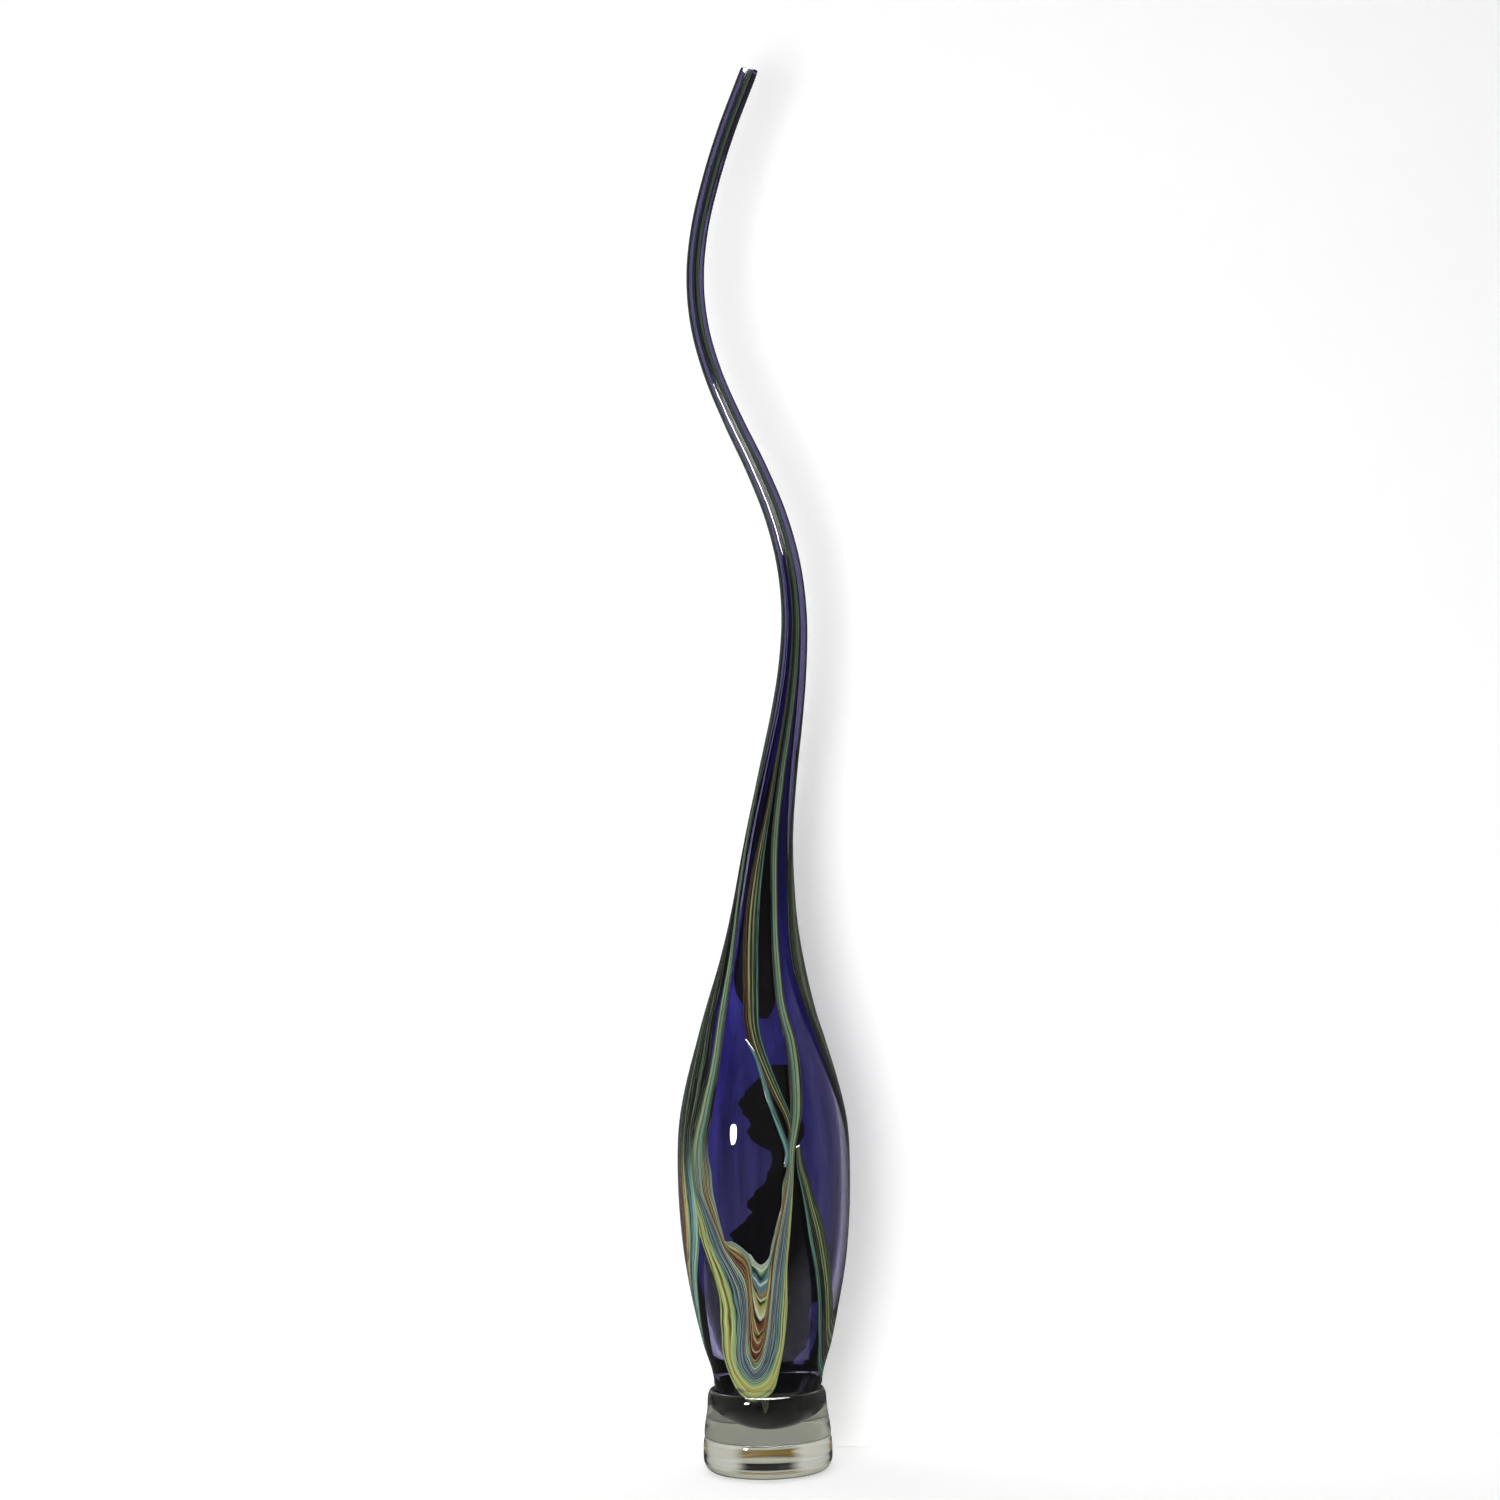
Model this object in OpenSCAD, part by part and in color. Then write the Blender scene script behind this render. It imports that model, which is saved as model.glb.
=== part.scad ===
// Tall blown glass vase: a violet bubble drawn out into a long bent neck,
// dressed with marbled glass trails and set in a clear two-gather foot.
// Millimetres, +Z up, origin on the table under the middle of the foot.
// Angles round the vase are in degrees from the front (-Y), positive towards +X.

/* [Foot] */
// Widest diameter of the lower disc
foot_d = 80; // [76:1:90]
// Height of the seam between the lower disc and the upper cup
seam_z = 21.5; // [18:0.5:23]
// Diameter at the seam's crease
seam_d = 77.2; // [75.5:0.1:78]
// Height of the cup's rounded lip
lip_z = 50.5; // [48:0.5:53.5]
// Diameter of the polished hollow under the foot
punty_d = 22; // [14:1:30]
// Depth of the polished hollow
punty_depth = 3; // [1:0.5:4]

/* [Bubble] */
// Height of the waist, where the bubble comes out of the foot
waist_z = 54; // [54:0.5:58]
// Diameter at the waist
waist_d = 67; // [64:1:68]
// Lowest point of the bubble, inside the cup
bowl_z = 25.5; // [24:0.5:34]
// Sideways offset of the bubble's axis from the foot's
lean_x = 1; // [0:0.5:2]
// Height of the inside floor
cavity_z = 42; // [38:1:50]
// Wall thickness at the belly
belly_wall = 5; // [3:0.5:8]

/* [Neck] */
// Diameter of the bore at the tip
bore_d = 3.2; // [2:0.2:4]
// Sides of the neck's cross-section
neck_sides = 20; // [16:2:32]

/* [Trails] */
// Height of a trail's crown above the glass it lies on
trail_crown = 1.1; // [0.8:0.1:1.6]
// Thickness of a trail at its edges
trail_edge = 0.3; // [0.2:0.1:0.5]
// Fusing allowance between a trail and the glass under it
trail_gap = 0.25; // [0.25:0.05:0.4]

/* [Hidden] */
$fn = 96;

// Height of the parting ring between the bubble and its drawn neck
ring_z = 270;
// Height of the middle of the cut tip
tip_z = 868;
// Distance between rings along the neck and the trails' legs
ring_step = 13;
// Height of the end of the cavity's rounded floor
cavity_shoulder_z = 80;
// Steps round a quarter curve of an outline
quarter_steps = 8;
// How bluntly the bubble's base rounds off inside the cup
bowl_power = 0.4;
// Cuts of the bubble's base from its lowest point to the waist, closest where it curves most
bowl_steps = 14;
bowl_cuts = [for (i = [0 : bowl_steps]) bowl_z + (waist_z - bowl_z) * pow(i / bowl_steps, 2)];

// Outside radius of the bubble and neck: [height, radius]
radius_knots = [
    [waist_z, waist_d / 2], [80, 39.8], [105, 45.4], [130, 49.9], [160, 52.7],
    [190, 53.4], [215, 52], [240, 47.2], [265, 40.1], [290, 32.7], [315, 26.1],
    [340, 21], [370, 17], [405, 13.6], [450, 10.8], [500, 8.5], [560, 7.2],
    [620, 6.3], [680, 5.5], [740, 5.25], [tip_z, 5.25]
];

// Sideways place of the axis, straight up to the parting ring and then bent: [height, x]
axis_knots = [
    [ring_z, lean_x], [310, 2.6], [350, 5], [390, 8.5], [430, 14.6], [470, 21.6],
    [500, 25.5], [530, 26.9], [560, 24.2], [590, 17], [620, 5.5], [650, -8.2],
    [680, -20.3], [710, -28], [740, -30], [770, -26.6], [800, -19], [830, -9],
    [tip_z, 6.4]
];

// Thickness of the wall, from the heavy base to the thin bore: [height, thickness]
wall_knots = [
    [bowl_z, 9], [120, belly_wall + 0.5], [190, belly_wall], [450, belly_wall],
    [560, 4.2], [tip_z, 5.25 - bore_d / 2]
];

// Each leg climbs the neck between two angles: [height, first side, second side]
front_left_leg = [
    [163, -43, -34], [177, -48, -36], [190, -50, -38], [205, -51, -42],
    [225, -46, -40], [253, -43, -37], [293, -47, -41], [325, -55, -48],
    [352, -65, -55], [413, -78, -55], [507, -82, -50], [tip_z, -84, -46]
];
front_right_leg = [
    [206, 21, 18], [224, 28, 20], [247, 32, 22], [270, 33, 22], [293, 27, 17],
    [354, 24, 11], [413, 22, 3], [507, 26, 1], [tip_z, 34, 2]
];
centre_leg = [
    [222, 17, 18], [238, 7, 12], [259, -4, 4], [275, -12, -2], [293, -18, -4],
    [353, -34, -10], [413, -18, -4], [507, -13, -3], [tip_z, -12, -3]
];
right_leg = [
    [150, 112, 100], [180, 107, 93], [205, 100, 86], [240, 88, 73], [265, 82, 64],
    [290, 78, 54], [315, 80, 44], [352, 86, 46], [413, 92, 62], [tip_z, 98, 72]
];
left_leg = [
    [205, -80, -57], [228, -84, -52], [247, -88, -50], [274, -96, -54],
    [310, -105, -62], [352, -112, -76], [413, -116, -92], [tip_z, -114, -94]
];
tongue_leg = [
    [277, 172, 180], [283, 165, 196], [292, 160, 214], [306, 159, 228],
    [352, 160, 236], [413, 162, 228], [450, 168, 196], [500, 172, 188], [tip_z, 172, 186]
];
swag_leg = [
    [56, 140, 190], [61, 128, 202], [72, 122, 212], [100, 120, 214], [130, 121, 212],
    [144, 127, 208], [153, 134, 200], [167, 142, 187], [176, 146, 183], [183, 147, 169],
    [188, 148, 175], [200, 146, 191], [214, 148, 199], [227, 148, 199], [238, 146, 186],
    [247, 149, 172]
];

// Draped stretches, as pairs of edge points: [outer angle, outer height, inner angle, inner height]
front_bag = [
    [-43, 163, -34, 163], [-39, 141, -31, 147], [-38, 110, -22, 138], [-44, 84, -16, 139],
    [-43, 64, -13, 140], [-34, 57, -10, 139], [-19, 56, -7, 136], [-2, 58, -4, 137],
    [10, 66, -1, 141], [16, 84, 2, 146], [16, 110, 5, 153], [15, 129, 8, 165],
    [17, 148, 11, 176], [18, 168, 14, 186], [20, 190, 16, 198], [21, 206, 18, 206]
];
right_bag = [
    [25, 194, 27, 195], [26, 180, 30, 186], [28, 165, 35, 173], [31, 150, 40, 162],
    [37, 130, 47, 142], [43, 110, 55, 122], [49, 88, 64, 106], [59, 66, 73, 98],
    [78, 57, 80, 96], [97, 60, 87, 98], [108, 78, 92, 104], [113, 100, 96, 114],
    [114, 125, 99, 130], [112, 150, 100, 150]
];
left_bag = [
    [-57, 205, -80, 205], [-56, 190, -79, 192], [-53, 176, -77, 178], [-52, 160, -76, 164],
    [-54, 143, -76, 151], [-61, 120, -80, 134], [-70, 95, -88, 118], [-81, 74, -96, 108],
    [-98, 60, -104, 104], [-118, 64, -111, 106], [-129, 84, -117, 114],
    [-133, 110, -121, 128], [-132, 140, -124, 150], [-129, 175, -125, 178],
    [-126, 215, -124, 216]
];

// Slope at knot i of a smooth curve through [place, value] knots; the first knot starts flat
function knot_slope(k, i) =
    i == 0 ? k[0] * 0 :
    i == len(k) - 1 ? (k[i] - k[i - 1]) / (k[i][0] - k[i - 1][0]) :
    (k[i + 1] - k[i - 1]) / (k[i + 1][0] - k[i - 1][0]);

// Last knot at or below place t, searched upwards from knot i
function knot_below(k, t, i = 0) = i < len(k) - 2 && k[i + 1][0] <= t ? knot_below(k, t, i + 1) : i;

// Point of the smooth curve between knots i and i + 1, at the share u of the way
function knot_blend(k, i, u) =
    let (h = k[i + 1][0] - k[i][0])
    (2 * pow(u, 3) - 3 * u * u + 1) * k[i] + (pow(u, 3) - 2 * u * u + u) * h * knot_slope(k, i)
    + (3 * u * u - 2 * pow(u, 3)) * k[i + 1] + (pow(u, 3) - u * u) * h * knot_slope(k, i + 1);

// The smooth curve's values at place t, held level past either end
function curve(k, t) =
    t <= k[0][0] ? k[0] :
    t >= k[len(k) - 1][0] ? k[len(k) - 1] :
    let (i = knot_below(k, t))
    knot_blend(k, i, (t - k[i][0]) / (k[i + 1][0] - k[i][0]));

// Outside radius, axis place, axis tilt and inside radius at a height
function bowl_r(z) = waist_d / 2 * pow((z - bowl_z) / (waist_z - bowl_z), bowl_power);
function outer_r(z) = z < waist_z ? bowl_r(z) : curve(radius_knots, z)[1];
function axis_x(z) = z <= ring_z ? lean_x : curve(axis_knots, z)[1];
function axis_tilt(z) = z <= ring_z ? 0 : atan(axis_x(z + 0.5) - axis_x(z - 0.5));
function floor_share(z) =
    z >= cavity_shoulder_z ? 1 :
    sqrt(1 - pow((cavity_shoulder_z - z) / (cavity_shoulder_z - cavity_z), 2));
function inner_r(z) = (outer_r(z) - curve(wall_knots, z)[1]) * floor_share(z);

// Point at radius r and angle a on the tilted cross-section at height z
function on_section(z, a, r) =
    let (t = axis_tilt(z))
    [axis_x(z) + r * sin(a) * cos(t), -r * cos(a), z - r * sin(a) * sin(t)];

// Cuts of the neck, spaced evenly from the parting ring to the tip
neck_cuts = [for (z = [ring_z : ring_step : tip_z]) z];

// Clear lower disc, with its rounded edge and the polished hollow underneath
module foot_disc() {
    edge_r = 7;
    edge_h = 9;
    side_top_z = 14;
    foot_r = foot_d / 2;
    seam_r = seam_d / 2;
    punty_r = punty_d / 2;
    hollow_r = (punty_r * punty_r + punty_depth * punty_depth) / (2 * punty_depth);
    hollow_angle = asin(punty_r / hollow_r);
    color([0.86, 0.88, 0.82])
        rotate_extrude()
            polygon(concat(
                [for (i = [0 : quarter_steps])
                    let (t = hollow_angle * i / quarter_steps)
                    [hollow_r * sin(t), max(0, hollow_r * cos(t) - hollow_r + punty_depth)]],
                [for (i = [0 : quarter_steps])
                    let (t = 90 * i / quarter_steps)
                    [foot_r - edge_r + edge_r * sin(t), edge_h * (1 - cos(t))]],
                [for (i = [0 : quarter_steps])
                    let (t = 90 * i / quarter_steps)
                    [seam_r + (foot_r - seam_r) * cos(t), side_top_z + (seam_z - side_top_z) * sin(t)]],
                [[0, seam_z]]
            ));
}

// Clear upper gather, cupped round the base of the bubble
module foot_cup() {
    crease_w = 0.6;
    crease_h = 1.6;
    seam_r = seam_d / 2;
    side_r = 36.9;
    side_z = 43;
    flare_z = 26;
    lip_r = waist_d / 2;
    lip_floor = 0.2;
    color([0.8, 0.83, 0.78])
        rotate_extrude()
            polygon(concat(
                [[0, seam_z]],
                [for (i = [0 : quarter_steps])
                    let (t = 90 * i / quarter_steps)
                    [seam_r + crease_w * sin(t), seam_z + crease_h * (1 - cos(t))]],
                [[seam_r + crease_w - 0.1, flare_z]],
                [for (i = [0 : quarter_steps])
                    let (t = 90 * i / quarter_steps)
                    [lip_r + lean_x + (side_r - lip_r - lean_x) * cos(t), side_z + (lip_z - side_z) * sin(t)]],
                [[bowl_r(lip_z) + lean_x + lip_floor, lip_z]],
                [for (i = [bowl_steps - 1 : -1 : 1])
                    let (z = bowl_cuts[i])
                    if (z < lip_z) [bowl_r(z) + lean_x + lip_floor, z]],
                [[lean_x + lip_floor, bowl_z - lip_floor], [0, bowl_z - lip_floor]]
            ));
}

// Violet blown bubble, hollow, up to the ring where the neck begins
module body_bubble() {
    profile_step = 6;
    side_cuts = [for (z = [waist_z + profile_step : profile_step : ring_z - 3]) z];
    cavity_cuts = [for (z = [cavity_shoulder_z : profile_step : ring_z - 4]) z];
    color([0.2, 0.17, 0.5])
        translate([lean_x, 0, 0])
            rotate_extrude()
                polygon(concat(
                    [for (z = bowl_cuts) [bowl_r(z), z]],
                    [for (z = side_cuts) [outer_r(z), z]],
                    [[outer_r(ring_z), ring_z], [inner_r(ring_z), ring_z]],
                    [for (i = [len(cavity_cuts) - 1 : -1 : 0]) [inner_r(cavity_cuts[i]), cavity_cuts[i]]],
                    [for (i = [quarter_steps - 1 : -1 : 0])
                        let (z = cavity_shoulder_z - (cavity_shoulder_z - cavity_z) * cos(90 * i / quarter_steps))
                        [i == 0 ? 0 : inner_r(z), z]]
                ));
}

// Hot-drawn neck: one tube swept along the bent axis, with its fine bore
module drawn_neck() {
    n = neck_sides;
    cuts = len(neck_cuts);
    outside = [for (z = neck_cuts) for (s = [0 : n - 1]) on_section(z, 360 * s / n, outer_r(z))];
    bore = [for (z = neck_cuts) for (s = [0 : n - 1]) on_section(z, 360 * s / n, inner_r(z))];
    inner_start = cuts * n;
    color([0.3, 0.28, 0.5])
        polyhedron(
            points = concat(outside, bore),
            faces = concat(
                [for (c = [0 : cuts - 2]) for (s = [0 : n - 1])
                    let (a = c * n + s, b = c * n + (s + 1) % n)
                    [a, a + n, b + n, b]],
                [for (c = [0 : cuts - 2]) for (s = [0 : n - 1])
                    let (a = inner_start + c * n + s, b = inner_start + c * n + (s + 1) % n)
                    [a, b, b + n, a + n]],
                [for (s = [0 : n - 1]) [s, (s + 1) % n, inner_start + (s + 1) % n, inner_start + s]],
                [for (s = [0 : n - 1])
                    let (a = (cuts - 1) * n)
                    [a + s, inner_start + a + s, inner_start + a + (s + 1) % n, a + (s + 1) % n]]
            ),
            convexity = 8
        );
}

// Stations up a leg, at the neck's own cuts above the parting ring so that their chords agree
function leg_heights(k) =
    let (low = k[0][0], high = k[len(k) - 1][0])
    concat(
        [for (i = [0 : len(k) - 1]) if (k[i][0] < ring_z - 4) k[i][0]],
        [for (z = neck_cuts) if (z > low + 1 && z <= high) z]
    );
function leg_up(k) = [for (z = leg_heights(k)) let (v = curve(k, z)) [v[1], z, v[2], z]];
function reversed(list) = [for (i = [len(list) - 1 : -1 : 0]) list[i]];

// Draped stations with a smooth one added between each pair
function draped(d) =
    [for (i = [0 : len(d) - 1]) each i == len(d) - 1 ? [d[i]] :
        let (before = d[max(i - 1, 0)], after = d[min(i + 2, len(d) - 1)])
        [d[i], (9 * (d[i] + d[i + 1]) - before - after) / 16]];

// A trail of glass: one domed ribbon laid on the surface through its stations
module trail(stations, across) {
    function crown(v) = trail_gap + trail_edge + (trail_crown - trail_edge) * 4 * v * (1 - v);
    function lay(s, v, lift) =
        let (a = s[0] + (s[2] - s[0]) * v, z = s[1] + (s[3] - s[1]) * v)
        on_section(z, a, outer_r(z) + lift);
    ring = 2 * (across + 1);
    last = (len(stations) - 1) * ring;
    points = [for (s = stations) each concat(
        [for (i = [0 : across]) lay(s, i / across, trail_gap)],
        [for (i = [across : -1 : 0]) lay(s, i / across, crown(i / across))]
    )];
    polyhedron(
        points = points,
        faces = concat(
            [[for (i = [ring - 1 : -1 : 0]) i]],
            [for (c = [0 : len(stations) - 2]) for (i = [0 : ring - 1])
                let (a = c * ring + i, b = c * ring + (i + 1) % ring)
                each [[a, b, b + ring], [a, b + ring, a + ring]]],
            [[for (i = [0 : ring - 1]) last + i]]
        ),
        convexity = 10
    );
}

// Front trail: both legs and the wide draped bag between them
module front_trail() {
    left = reversed(leg_up(front_left_leg));
    right = leg_up(front_right_leg);
    bag = draped(front_bag);
    color([0.6, 0.72, 0.42])
        trail(concat([for (i = [0 : len(left) - 2]) left[i]], bag, [for (i = [1 : len(right) - 1]) right[i]]), 6);
}

// Centre stem, from the knot over the front drape to the tip
module centre_trail() {
    color([0.35, 0.27, 0.12]) trail(reversed(leg_up(centre_leg)), 3);
}

// Right trail: hangs from the knot, drapes round the right side and climbs the neck
module right_trail() {
    leg = leg_up(right_leg);
    color([0.35, 0.42, 0.28])
        trail(concat(draped(right_bag), [for (i = [1 : len(leg) - 1]) leg[i]]), 4);
}

// Left trail: comes down the neck, drapes round the left side and tails off behind
module left_trail() {
    leg = reversed([for (s = leg_up(left_leg)) [s[2], s[1], s[0], s[3]]]);
    color([0.45, 0.6, 0.45])
        trail(concat([for (i = [0 : len(leg) - 2]) leg[i]], draped(left_bag)), 4);
}

// Wide dark swag low on the back
module back_swag() {
    color([0.22, 0.15, 0.12]) trail(leg_up(swag_leg), 6);
}

// Dark tongue that hangs down the back of the neck
module back_tongue() {
    color([0.2, 0.17, 0.13]) trail(leg_up(tongue_leg), 4);
}

foot_disc();
foot_cup();
body_bubble();
drawn_neck();
front_trail();
centre_trail();
right_trail();
left_trail();
back_swag();
back_tongue();
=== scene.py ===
"""Tall blown art glass vase: a violet bubble drawn into a bent neck, with marbled trails and a clear foot.

Sizes are in millimetres until a mesh is made. Angles round the vase are in degrees from the front (-Y),
positive towards +X, so 180 is the middle of the back.
"""

import logging
import math
from dataclasses import dataclass
from enum import Enum
from functools import partial

import bpy
import numpy as np
from bpy.types import ColorRamp, Material, Node, NodeSocket, NodeTree, Object
from mathutils import Matrix, Vector


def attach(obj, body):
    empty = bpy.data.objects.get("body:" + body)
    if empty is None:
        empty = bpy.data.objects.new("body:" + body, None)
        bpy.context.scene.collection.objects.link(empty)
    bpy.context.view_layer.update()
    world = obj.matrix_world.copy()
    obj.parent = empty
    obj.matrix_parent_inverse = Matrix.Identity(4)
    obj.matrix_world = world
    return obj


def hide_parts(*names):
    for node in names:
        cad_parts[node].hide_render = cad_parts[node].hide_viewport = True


MM = 0.001
BODY = "root"
LOG = logging.getLogger("vase")

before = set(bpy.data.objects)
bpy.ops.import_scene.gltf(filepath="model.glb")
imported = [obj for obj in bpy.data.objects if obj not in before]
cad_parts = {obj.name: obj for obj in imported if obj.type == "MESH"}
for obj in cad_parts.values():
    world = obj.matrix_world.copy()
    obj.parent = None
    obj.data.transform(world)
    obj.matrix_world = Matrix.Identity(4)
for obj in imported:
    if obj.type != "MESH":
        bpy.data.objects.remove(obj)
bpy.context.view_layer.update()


class Slot(Enum):
    """The record's material slots."""

    FOOT = "clear_foot_glass"
    VIOLET = "violet_glass"
    MARBLED = "marbled_glass"
    DARK = "dark_trail_glass"


class Seam(Enum):
    """How a band of a lathed or drawn mesh is finished."""

    OUTSIDE = 0
    INSIDE = 1
    FUSED = 2
    BASE = 3


# ---------------------------------------------------------------- curves


def smooth(knots: list, place: np.ndarray) -> np.ndarray:
    """Smooth curve through knots, flat at the first knot and held level past both ends.

    Args:
        knots: rows of (place, value), with places rising.
        place: the places to evaluate.

    Returns:
        The curve's value at each place.
    """
    table = np.asarray(knots, float)
    x, y = table[:, 0], table[:, 1]
    slope = np.zeros(len(x))
    slope[1:-1] = (y[2:] - y[:-2]) / (x[2:] - x[:-2])
    slope[-1] = (y[-1] - y[-2]) / (x[-1] - x[-2])
    t = np.clip(np.asarray(place, float), x[0], x[-1])
    i = np.clip(np.searchsorted(x, t, side="right") - 1, 0, len(x) - 2)
    step = x[i + 1] - x[i]
    u = (t - x[i]) / step
    start = (2 * u**3 - 3 * u**2 + 1) * y[i] + (u**3 - 2 * u**2 + u) * step * slope[i]
    end = (3 * u**2 - 2 * u**3) * y[i + 1] + (u**3 - u**2) * step * slope[i + 1]
    return start + end


def through(points: np.ndarray, places: np.ndarray) -> np.ndarray:
    """Smooth path through evenly numbered points.

    Args:
        points: an array whose first axis counts the points.
        places: where to evaluate, from 0 at the first point to the last point's number.

    Returns:
        The path's value at each place.
    """
    last = len(points) - 1
    i = np.clip(places.astype(int), 0, last - 1)
    u = (places - i).reshape(-1, *[1] * (points.ndim - 1))
    before, a, b, after = (points[np.clip(i + k, 0, last)] for k in (-1, 0, 1, 2))
    slope_a, slope_b = (b - before) / 2, (after - a) / 2
    start = (2 * u**3 - 3 * u**2 + 1) * a + (u**3 - 2 * u**2 + u) * slope_a
    return start + (3 * u**2 - 2 * u**3) * b + (u**3 - u**2) * slope_b


def ripple(places: np.ndarray, length: float, seed: int) -> np.ndarray:
    """Seeded, ragged variation between about -1 and 1.

    Args:
        places: distances along an edge.
        length: the longest ripple's length.
        seed: picks the ripple.

    Returns:
        The ripple at each place.
    """
    draw = np.random.default_rng(seed)
    total = np.zeros_like(places, float)
    for octave in range(5):
        phase, stretch = draw.uniform(0, 2 * math.pi), draw.uniform(0.8, 1.2)
        total += 0.62**octave * np.sin(2 * math.pi * places * 2**octave * stretch / length + phase)
    return total / 1.8


@dataclass(frozen=True)
class VaseSkin:
    """The outside skin of the bubble and neck: a radius and a bent axis along the height."""

    waist: float = 54.0
    ring: float = 270.0
    tip: float = 868.0
    bowl: float = 25.5
    bowl_power: float = 0.4
    waist_radius: float = 33.5
    lean: float = 1.0
    cavity_floor: float = 42.0
    cavity_shoulder: float = 80.0
    # The silhouette's radius, the bent axis's x and the wall's thickness, each as (height, value)
    radius_knots: tuple = (
        (54, 33.5), (80, 39.8), (105, 45.4), (130, 49.9), (160, 52.7), (190, 53.4), (215, 52), (240, 47.2),
        (265, 40.1), (290, 32.7), (315, 26.1), (340, 21), (370, 17), (405, 13.6), (450, 10.8), (500, 8.5),
        (560, 7.2), (620, 6.3), (680, 5.5), (740, 5.25), (868, 5.25),
    )
    axis_knots: tuple = (
        (270, 1), (310, 2.6), (350, 5), (390, 8.5), (430, 14.6), (470, 21.6), (500, 25.5), (530, 26.9),
        (560, 24.2), (590, 17), (620, 5.5), (650, -8.2), (680, -20.3), (710, -28), (740, -30), (770, -26.6),
        (800, -19), (830, -9), (868, 6.4),
    )
    wall_knots: tuple = ((25.5, 9), (120, 5.5), (190, 5), (450, 5), (560, 4.2), (868, 3.65))

    def radius(self, height: np.ndarray) -> np.ndarray:
        """Outside radius at each height."""
        height = np.asarray(height, float)
        share = np.clip((height - self.bowl) / (self.waist - self.bowl), 0, 1)
        sunk = self.waist_radius * share**self.bowl_power
        return np.where(height < self.waist, sunk, smooth(self.radius_knots, height))

    def cavity_radius(self, height: np.ndarray) -> np.ndarray:
        """Inside radius at each height, rounded off above the cavity's floor."""
        drop = (self.cavity_shoulder - height) / (self.cavity_shoulder - self.cavity_floor)
        floor_share = np.sqrt(np.clip(1 - np.clip(drop, 0, 1) ** 2, 0, 1))
        return (self.radius(height) - smooth(self.wall_knots, height)) * floor_share

    def tilt(self, height: np.ndarray) -> np.ndarray:
        """Lean of the axis from upright, in radians, at each height."""
        rise = smooth(self.axis_knots, height + 0.5) - smooth(self.axis_knots, height - 0.5)
        return np.where(height <= self.ring, 0, np.arctan(rise))

    def point(self, height: np.ndarray, angle: np.ndarray, radius: np.ndarray,
              along: float = 0.0) -> np.ndarray:
        """Points on tilted cross-sections.

        Args:
            height: where each cross-section crosses the axis.
            angle: degrees round it from the front.
            radius: distance from the axis.
            along: extra distance along the axis.

        Returns:
            The points in metres, with x, y, z on the last axis.
        """
        height, angle, radius = np.broadcast_arrays(np.asarray(height, float), angle, radius)
        tilt, turn = self.tilt(height), np.radians(angle)
        side = radius * np.sin(turn)
        x = smooth(self.axis_knots, height) + side * np.cos(tilt) + along * np.sin(tilt)
        z = height - side * np.sin(tilt) + along * np.cos(tilt)
        return np.stack([x, -radius * np.cos(turn), z], axis=-1) * MM


SKIN = VaseSkin()
# How far up the sunk base its first ring lies, before the rings are drawn together towards the bottom
FIRST_RING = 0.06


# ---------------------------------------------------------------- meshes


def make_object(name: str, points: np.ndarray, faces: list, materials: list, bands: list = (),
                flow: np.ndarray = None, crease: float = 50.0) -> Object:
    """Makes a smooth-shaded mesh object.

    Args:
        name: the piece's name.
        points: vertices in metres.
        faces: lists of vertex numbers.
        materials: the mesh's materials.
        bands: the number of each face's material, or nothing when there is one.
        flow: distance along and share across for each vertex, kept as the UV map "flow".
        crease: degrees between faces above which their edge stays sharp.

    Returns:
        The new object.
    """
    mesh = bpy.data.meshes.new(name)
    mesh.from_pydata(points.reshape(-1, 3).tolist(), [], faces)
    for material in materials:
        mesh.materials.append(material)
    if len(bands):
        mesh.polygons.foreach_set("material_index", np.asarray(bands, np.int32))
    mesh.polygons.foreach_set("use_smooth", np.ones(len(mesh.polygons), bool))
    mesh.set_sharp_from_angle(angle=math.radians(crease))
    if flow is not None:
        corners = np.zeros(len(mesh.loops), np.int32)
        mesh.loops.foreach_get("vertex_index", corners)
        layer = mesh.uv_layers.new(name="flow")
        layer.data.foreach_set("uv", flow[corners].astype(np.float32).ravel())
    mesh.validate()
    piece = bpy.data.objects.new(name, mesh)
    bpy.context.scene.collection.objects.link(piece)
    return piece


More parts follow.
